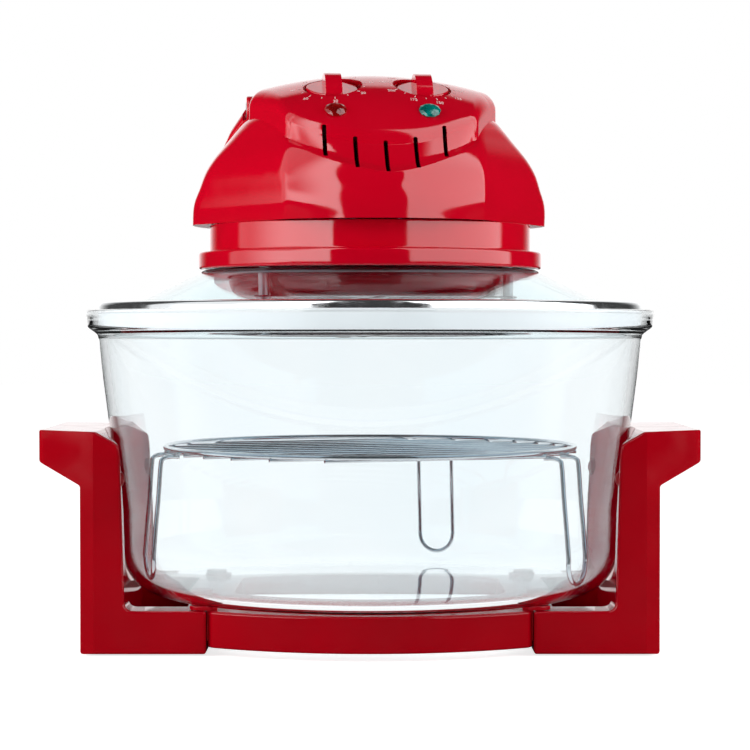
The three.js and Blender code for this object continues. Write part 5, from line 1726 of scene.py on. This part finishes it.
def tick_print(turn, length):
    aim = Vector((math.sin(turn), math.cos(turn)))
    beside = Vector((aim.y, -aim.x)) * TICK_WIDTH / 2
    start = aim * TICK_START
    end = aim * (TICK_START + length)
    return slab([start - beside, start + beside, end + beside, end - beside], 0, PRINT_THICKNESS)


# Lays flat print onto the panel round a knob's centre
def print_on_panel(piece, side):
    slope = math.cos(panel_slope(KNOB_Y))
    for vertex in piece.data.vertices:
        x = side * KNOB_X + vertex.co.x / MM
        y = KNOB_Y + vertex.co.y / MM * slope
        height = float(cap_height(np.array(x), np.array(y)))
        vertex.co = to_head @ Vector((x, y, height + PRINT_LIFT + vertex.co.z / MM)) * MM


def make_dial(name, side, numbers, turns):
    work = bmesh.new()
    ticks = (len(numbers) - 1) * 2
    for index in range(ticks + 1):
        turn = math.radians(between(*turns, index / ticks))
        vertices, faces = tick_print(turn, TICK_LENGTHS[index % 2])
        made = [work.verts.new([value * MM for value in vertex]) for vertex in vertices]
        for face in faces:
            work.faces.new([made[corner] for corner in face])
    for index, number in enumerate(numbers):
        turn = math.radians(between(*turns, index / (len(numbers) - 1)))
        mesh = number_print(str(number), NUMBER_RADIUS * math.sin(turn), NUMBER_RADIUS * math.cos(turn))
        work.from_mesh(mesh)
        bpy.data.meshes.remove(mesh)
    bmesh.ops.remove_doubles(work, verts=work.verts, dist=TINY)
    bmesh.ops.recalc_face_normals(work, faces=work.faces)
    mesh = bpy.data.meshes.new(name)
    work.to_mesh(mesh)
    work.free()
    piece = bpy.data.objects.new(name, mesh)
    scene.collection.objects.link(piece)
    print_on_panel(piece, side)
    piece.data.materials.append(dial_white)
    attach(piece, "lid")


make_dial("timer_dial_print", SIDES["left"], TIMER_NUMBERS, TIMER_TURNS)
make_dial("thermostat_dial_print", SIDES["right"], HEAT_NUMBERS, HEAT_TURNS)

# Indicator lamps: faceted lenses in a thin seat. Levels are radius, height, turn in facets
LENS_SEAT = 0.6
LENS_GIRDLE = 1
LENS_HEIGHT = 2.6
LENS_FACETS = 10
LENS_LEVELS = (
    (LENS_STEM, -LENS_STEM_LENGTH, 0),
    (LENS_STEM, LENS_SEAT, 0),
    (LENS_RADIUS, LENS_SEAT, 0),
    (LENS_RADIUS, LENS_GIRDLE, 0),
    (LENS_RADIUS * 0.74, LENS_HEIGHT * 0.78, 0.5),
    (LENS_RADIUS * 0.4, LENS_HEIGHT, 0),
)


def make_lens(node, look, side):
    rings = []
    for radius, height, twist in LENS_LEVELS:
        turns = [2 * math.pi * (facet + twist) / LENS_FACETS for facet in range(LENS_FACETS)]
        rings.append([ring_point(radius, turn, height) for turn in turns])
    lens = new_object(f"{node}_jewel", skinned(rings), on_panel(side * LAMP_X, LAMP_Y))
    with opened(lens.data) as work:
        bmesh.ops.triangulate(work, faces=[face for face in work.faces if len(face.verts) == 4])
    finish_piece(lens, "lid", look, [node], 4)


make_lens("timer_lamp_lens", "red_lens", SIDES["left"])
make_lens("heat_lamp_lens", "teal_lens", SIDES["right"])


# Safety handle with its pins
def make_handle():
    handle = handle_solid("carry_handle_bail", 0)
    head_low = HUB_OUTER - PIN_HEAD_HEIGHT
    cuts = []
    for side in SIDES.values():
        pivot = at_pivot(side)
        cuts.append(round_tool(PIN_RADIUS + GAP, HUB_INNER - OVERCUT, HUB_OUTER + OVERCUT, pivot))
        cuts.append(round_tool(PIN_HEAD + GAP, head_low - GAP, HUB_OUTER + OVERCUT, pivot))
    cut(handle, cuts)
    finish_piece(handle, "handle", "head_plastic", ["carry_handle"], 40)
    shank = bar(PIN_RADIUS, BOSS_FACE - BOSS_DEPTH, head_low)[:-1]
    profile = rounded([*shank, *bar(PIN_HEAD, head_low, HUB_OUTER)[1:]], PIN_ROUNDS)
    half, reach = PIN_SLOT / 2, PIN_HEAD + OVERCUT
    slot = box_between((-half, -reach, HUB_OUTER - PIN_SLOT_DEPTH), (half, reach, HUB_OUTER + OVERCUT))
    for side_name, side in SIDES.items():
        pin = new_object(f"pin_{side_name}", turned(profile, SMALL_SIDES), at_pivot(side))
        cut(pin, [new_object("tool", slot, at_pivot(side))])
        finish_piece(pin, "lid", "zinc_steel", [f"handle_pin_{side_name}"], 40)


make_handle()

# Below the head: clamp ring, heater pan, guard and long bolts
CLAMP_INNER = 83.4
CLAMP_OUTER = 94.4
CLAMP_THICKNESS = 1.2
CLAMP_EDGE = 0.3
GUARD_RADIUS = 82.5
GUARD_LOW = 199.4
GUARD_TOP = 211
GUARD_CORNER = 11
GUARD_FLAT = GUARD_RADIUS - GUARD_CORNER
GUARD_SLOTS = 12
SLOT_WIDTH = 7
SLOT_INNER_SHARE = 0.7
SLOT_INNER = 20
SLOT_OUTER = 66
SLOT_ROUNDS = (2.2, 2.2, 3.2, 3.2)
PAN_RADIUS = 81.5
PAN_TOP = 217.8
PAN_DEPTH = 6.5
PAN_ROUNDS = (0.2, 1.2, 0.2, 0.2, 2, 0.2)
SHEET = 0.8
EAR_WIDTH = 11
EAR_ROUNDS = (4, 4, 0, 0)
BOLT_HEAD = 4.5
BOLT_HEAD_HEIGHT = 2.4
BOLT_TOP = HEAD_LOW + HEAD_WALL + 4
BOLT_ROUNDS = (0, 1, 0.2, 0, 0.4, 0)
CROSS_LENGTH = BOLT_HEAD * 1.1
CROSS_WIDTH = 1
CROSS_DEPTH = 1.2


def make_clamp_ring():
    top = LID_COLLAR[1] - LID_GLASS - GAP
    low = top - CLAMP_THICKNESS
    points = [(CLAMP_INNER, low), (CLAMP_OUTER, low), (CLAMP_OUTER, top), (CLAMP_INNER, top)]
    outline = rounded(points, [CLAMP_EDGE] * 4, 3, True)
    ring = new_object("clamp_band", turned(outline, TURN_SIDES, True), to_head)
    cut(ring, bolt_holes(low - OVERCUT, top + OVERCUT))
    finish_piece(ring, "lid", "zinc_steel", ["clamp_ring"], 40)


def make_pan():
    bottom = PAN_TOP - PAN_DEPTH
    inner = PAN_RADIUS - SHEET
    points = [
        (SHAFT_HOLE, PAN_TOP - SHEET), (inner, PAN_TOP - SHEET), (inner, bottom), (PAN_RADIUS, bottom),
        (PAN_RADIUS, PAN_TOP), (SHAFT_HOLE, PAN_TOP),
    ]
    outline = dense_ring(rounded(points, PAN_ROUNDS, 5, True))
    pan = new_object("pan_pressing", turned(outline, TURN_SIDES, True), to_head)
    finish_piece(pan, "lid", "polished_steel", ["heater_pan"], 40)
    # Darker reddish steel: painted shade and painted reflection of the red head above
    pan.data.materials[0] = shaded_reddish_steel


# One ear for each bolt, which reach out of the guard's rounded corner
def guard_ears():
    half = EAR_WIDTH / 2
    end = -BOLT_CIRCLE - BOLT_HEAD
    points = [(-half, end), (half, end), (half, -GUARD_FLAT), (-half, -GUARD_FLAT)]
    ear = slab(rounded(points, EAR_ROUNDS, 6, True), GUARD_LOW, GUARD_LOW + SHEET)
    turns = [Matrix.Rotation(math.radians(angle), 4, "Z") for angle in BOLT_ANGLES.values()]
    return [new_object("tool", ear, to_head @ turn) for turn in turns]


def guard_slots():
    half = SLOT_WIDTH / 2
    inner = half * SLOT_INNER_SHARE
    points = [(-inner, SLOT_INNER), (inner, SLOT_INNER), (half, SLOT_OUTER), (-half, SLOT_OUTER)]
    slot = slab(rounded(points, SLOT_ROUNDS, 6, True), GUARD_LOW - OVERCUT, GUARD_LOW + OVERCUT)
    turns = [Matrix.Rotation(turn, 4, "Z") for turn in around(GUARD_SLOTS)]
    return [new_object("tool", slot, to_head @ turn) for turn in turns]


def make_guard():
    corner_z = GUARD_LOW + GUARD_CORNER
    thinner = GUARD_CORNER - SHEET
    outside = corner_arc(GUARD_FLAT, corner_z, GUARD_CORNER, GUARD_CORNER, 10)
    inside = corner_arc(GUARD_FLAT, corner_z, thinner, thinner, 10)
    profile = [(0, GUARD_LOW), *outside, (GUARD_RADIUS, GUARD_TOP), (GUARD_RADIUS - SHEET, GUARD_TOP)]
    profile += [*inside[::-1], (0, GUARD_LOW + SHEET)]
    guard = new_object("guard_pressing", turned(dense(profile), TURN_SIDES), to_head)
    join(guard, guard_ears())
    cut(guard, bolt_holes(GUARD_LOW - OVERCUT, GUARD_LOW + OVERCUT) + guard_slots())
    finish_piece(guard, "lid", "polished_steel", ["fan_guard"], 40)
    # Darker reddish steel: painted shade and painted reflection of the red head above
    guard.data.materials[0] = shaded_reddish_steel


def make_bolts():
    head_top = GUARD_LOW - GAP
    base = head_top - BOLT_HEAD_HEIGHT
    shank = bar(BOLT_RADIUS, head_top, BOLT_TOP)[1:]
    profile = rounded([*bar(BOLT_HEAD, base, head_top)[:-1], *shank], BOLT_ROUNDS)
    long, short = CROSS_LENGTH / 2, CROSS_WIDTH / 2
    cross = []
    for x, y in ((long, short), (short, long)):
        cross.append(box_between((-x, -y, base - OVERCUT), (x, y, base + CROSS_DEPTH)))
    for name, angle in BOLT_ANGLES.items():
        place = around_front(BOLT_CIRCLE, angle)
        bolt = new_object(f"{name}_pillar", turned(profile, SMALL_SIDES), place)
        cut(bolt, [new_object("tool", part, place) for part in cross])
        finish_piece(bolt, "lid", "bolt_chrome", [name], 40)


make_clamp_ring()
make_pan()
make_guard()
make_bolts()

# Ring-shaped quartz heater with its coil
HEATER_RADIUS = 62
HEATER_Z = 206.1
HEATER_TUBE = 4.6
HEATER_WALL = 0.9
HEATER_SIDES = 24
HEATER_STEPS = 120
HEATER_GAP = math.radians(13)
HEATER_START = math.pi / 2 + HEATER_GAP
HEATER_SWEEP = 2 * math.pi - 2 * HEATER_GAP
COIL_RADIUS = 2.5
COIL_WIRE = 0.45
COIL_TURNS = 110
COIL_STEPS = 10
COIL_SIDES = 5
COIL_INSET = 0.02


def make_heater():
    line = []
    for step in range(HEATER_STEPS + 1):
        angle = HEATER_START + HEATER_SWEEP * step / HEATER_STEPS
        line.append(Vector(ring_point(HEATER_RADIUS, angle, HEATER_Z)))
    tube = new_object("heater_glassware", wire(line, HEATER_TUBE, HEATER_SIDES), to_head)
    longer = [line[0] * 2 - line[1], *line, line[-1] * 2 - line[-2]]
    bore = new_object("tool", wire(longer, HEATER_TUBE - HEATER_WALL, HEATER_SIDES), to_head)
    cut(tube, [bore])
    finish_piece(tube, "lid", "heater_glass", ["heater_tube"], 50)
    coil = []
    steps = COIL_TURNS * COIL_STEPS
    for step in range(steps + 1):
        angle = HEATER_START + HEATER_SWEEP * between(COIL_INSET, 1 - COIL_INSET, step / steps)
        turn = 2 * math.pi * step / COIL_STEPS
        radius = HEATER_RADIUS + COIL_RADIUS * math.cos(turn)
        coil.append(Vector(ring_point(radius, angle, HEATER_Z + COIL_RADIUS * math.sin(turn))))
    winding = new_object("heater_coil", wire(coil, COIL_WIRE, COIL_SIDES), to_head)
    finish_piece(winding, "lid", "aluminium", (), 60)


make_heater()

# Cord inlet at the back of the neck: a sleeve with a groove for the neck's wall
INLET_BORE = 2.8
INLET_INSIDE = -7
INLET_OUTSIDE = 9
INLET_FLANGE = 7.2
INLET_FLANGE_HEIGHT = 2.4
INLET_ROUNDS = (0.3, 0.3, 0, 0.4, 0.7, 0.6, 0.6, 0.6)


def make_inlet():
    points = [
        (INLET_BORE, INLET_INSIDE), (INLET_RADIUS, INLET_INSIDE), (INLET_RADIUS, 0), (INLET_FLANGE, 0),
        (INLET_FLANGE, INLET_FLANGE_HEIGHT), (INLET_RADIUS, INLET_FLANGE_HEIGHT),
        (INLET_RADIUS - GAP, INLET_OUTSIDE), (INLET_BORE, INLET_OUTSIDE),
    ]
    profile = turned(rounded(points, INLET_ROUNDS, 5, True), MID_SIDES, True)
    inlet = new_object("inlet_moulding", profile, at_inlet(NECK_RADIUS + GAP))
    finish_piece(inlet, "lid", "black_plastic", ["cord_inlet"], 40)


make_inlet()

# Carried-over nodes keep their shapes and take the materials above
for entry in frame["record"]["subparts"]:
    carried = frame["nodes"][entry["node"]]
    carried.data.materials.clear()
    carried.data.materials.append(looks[entry["material_slot"]])
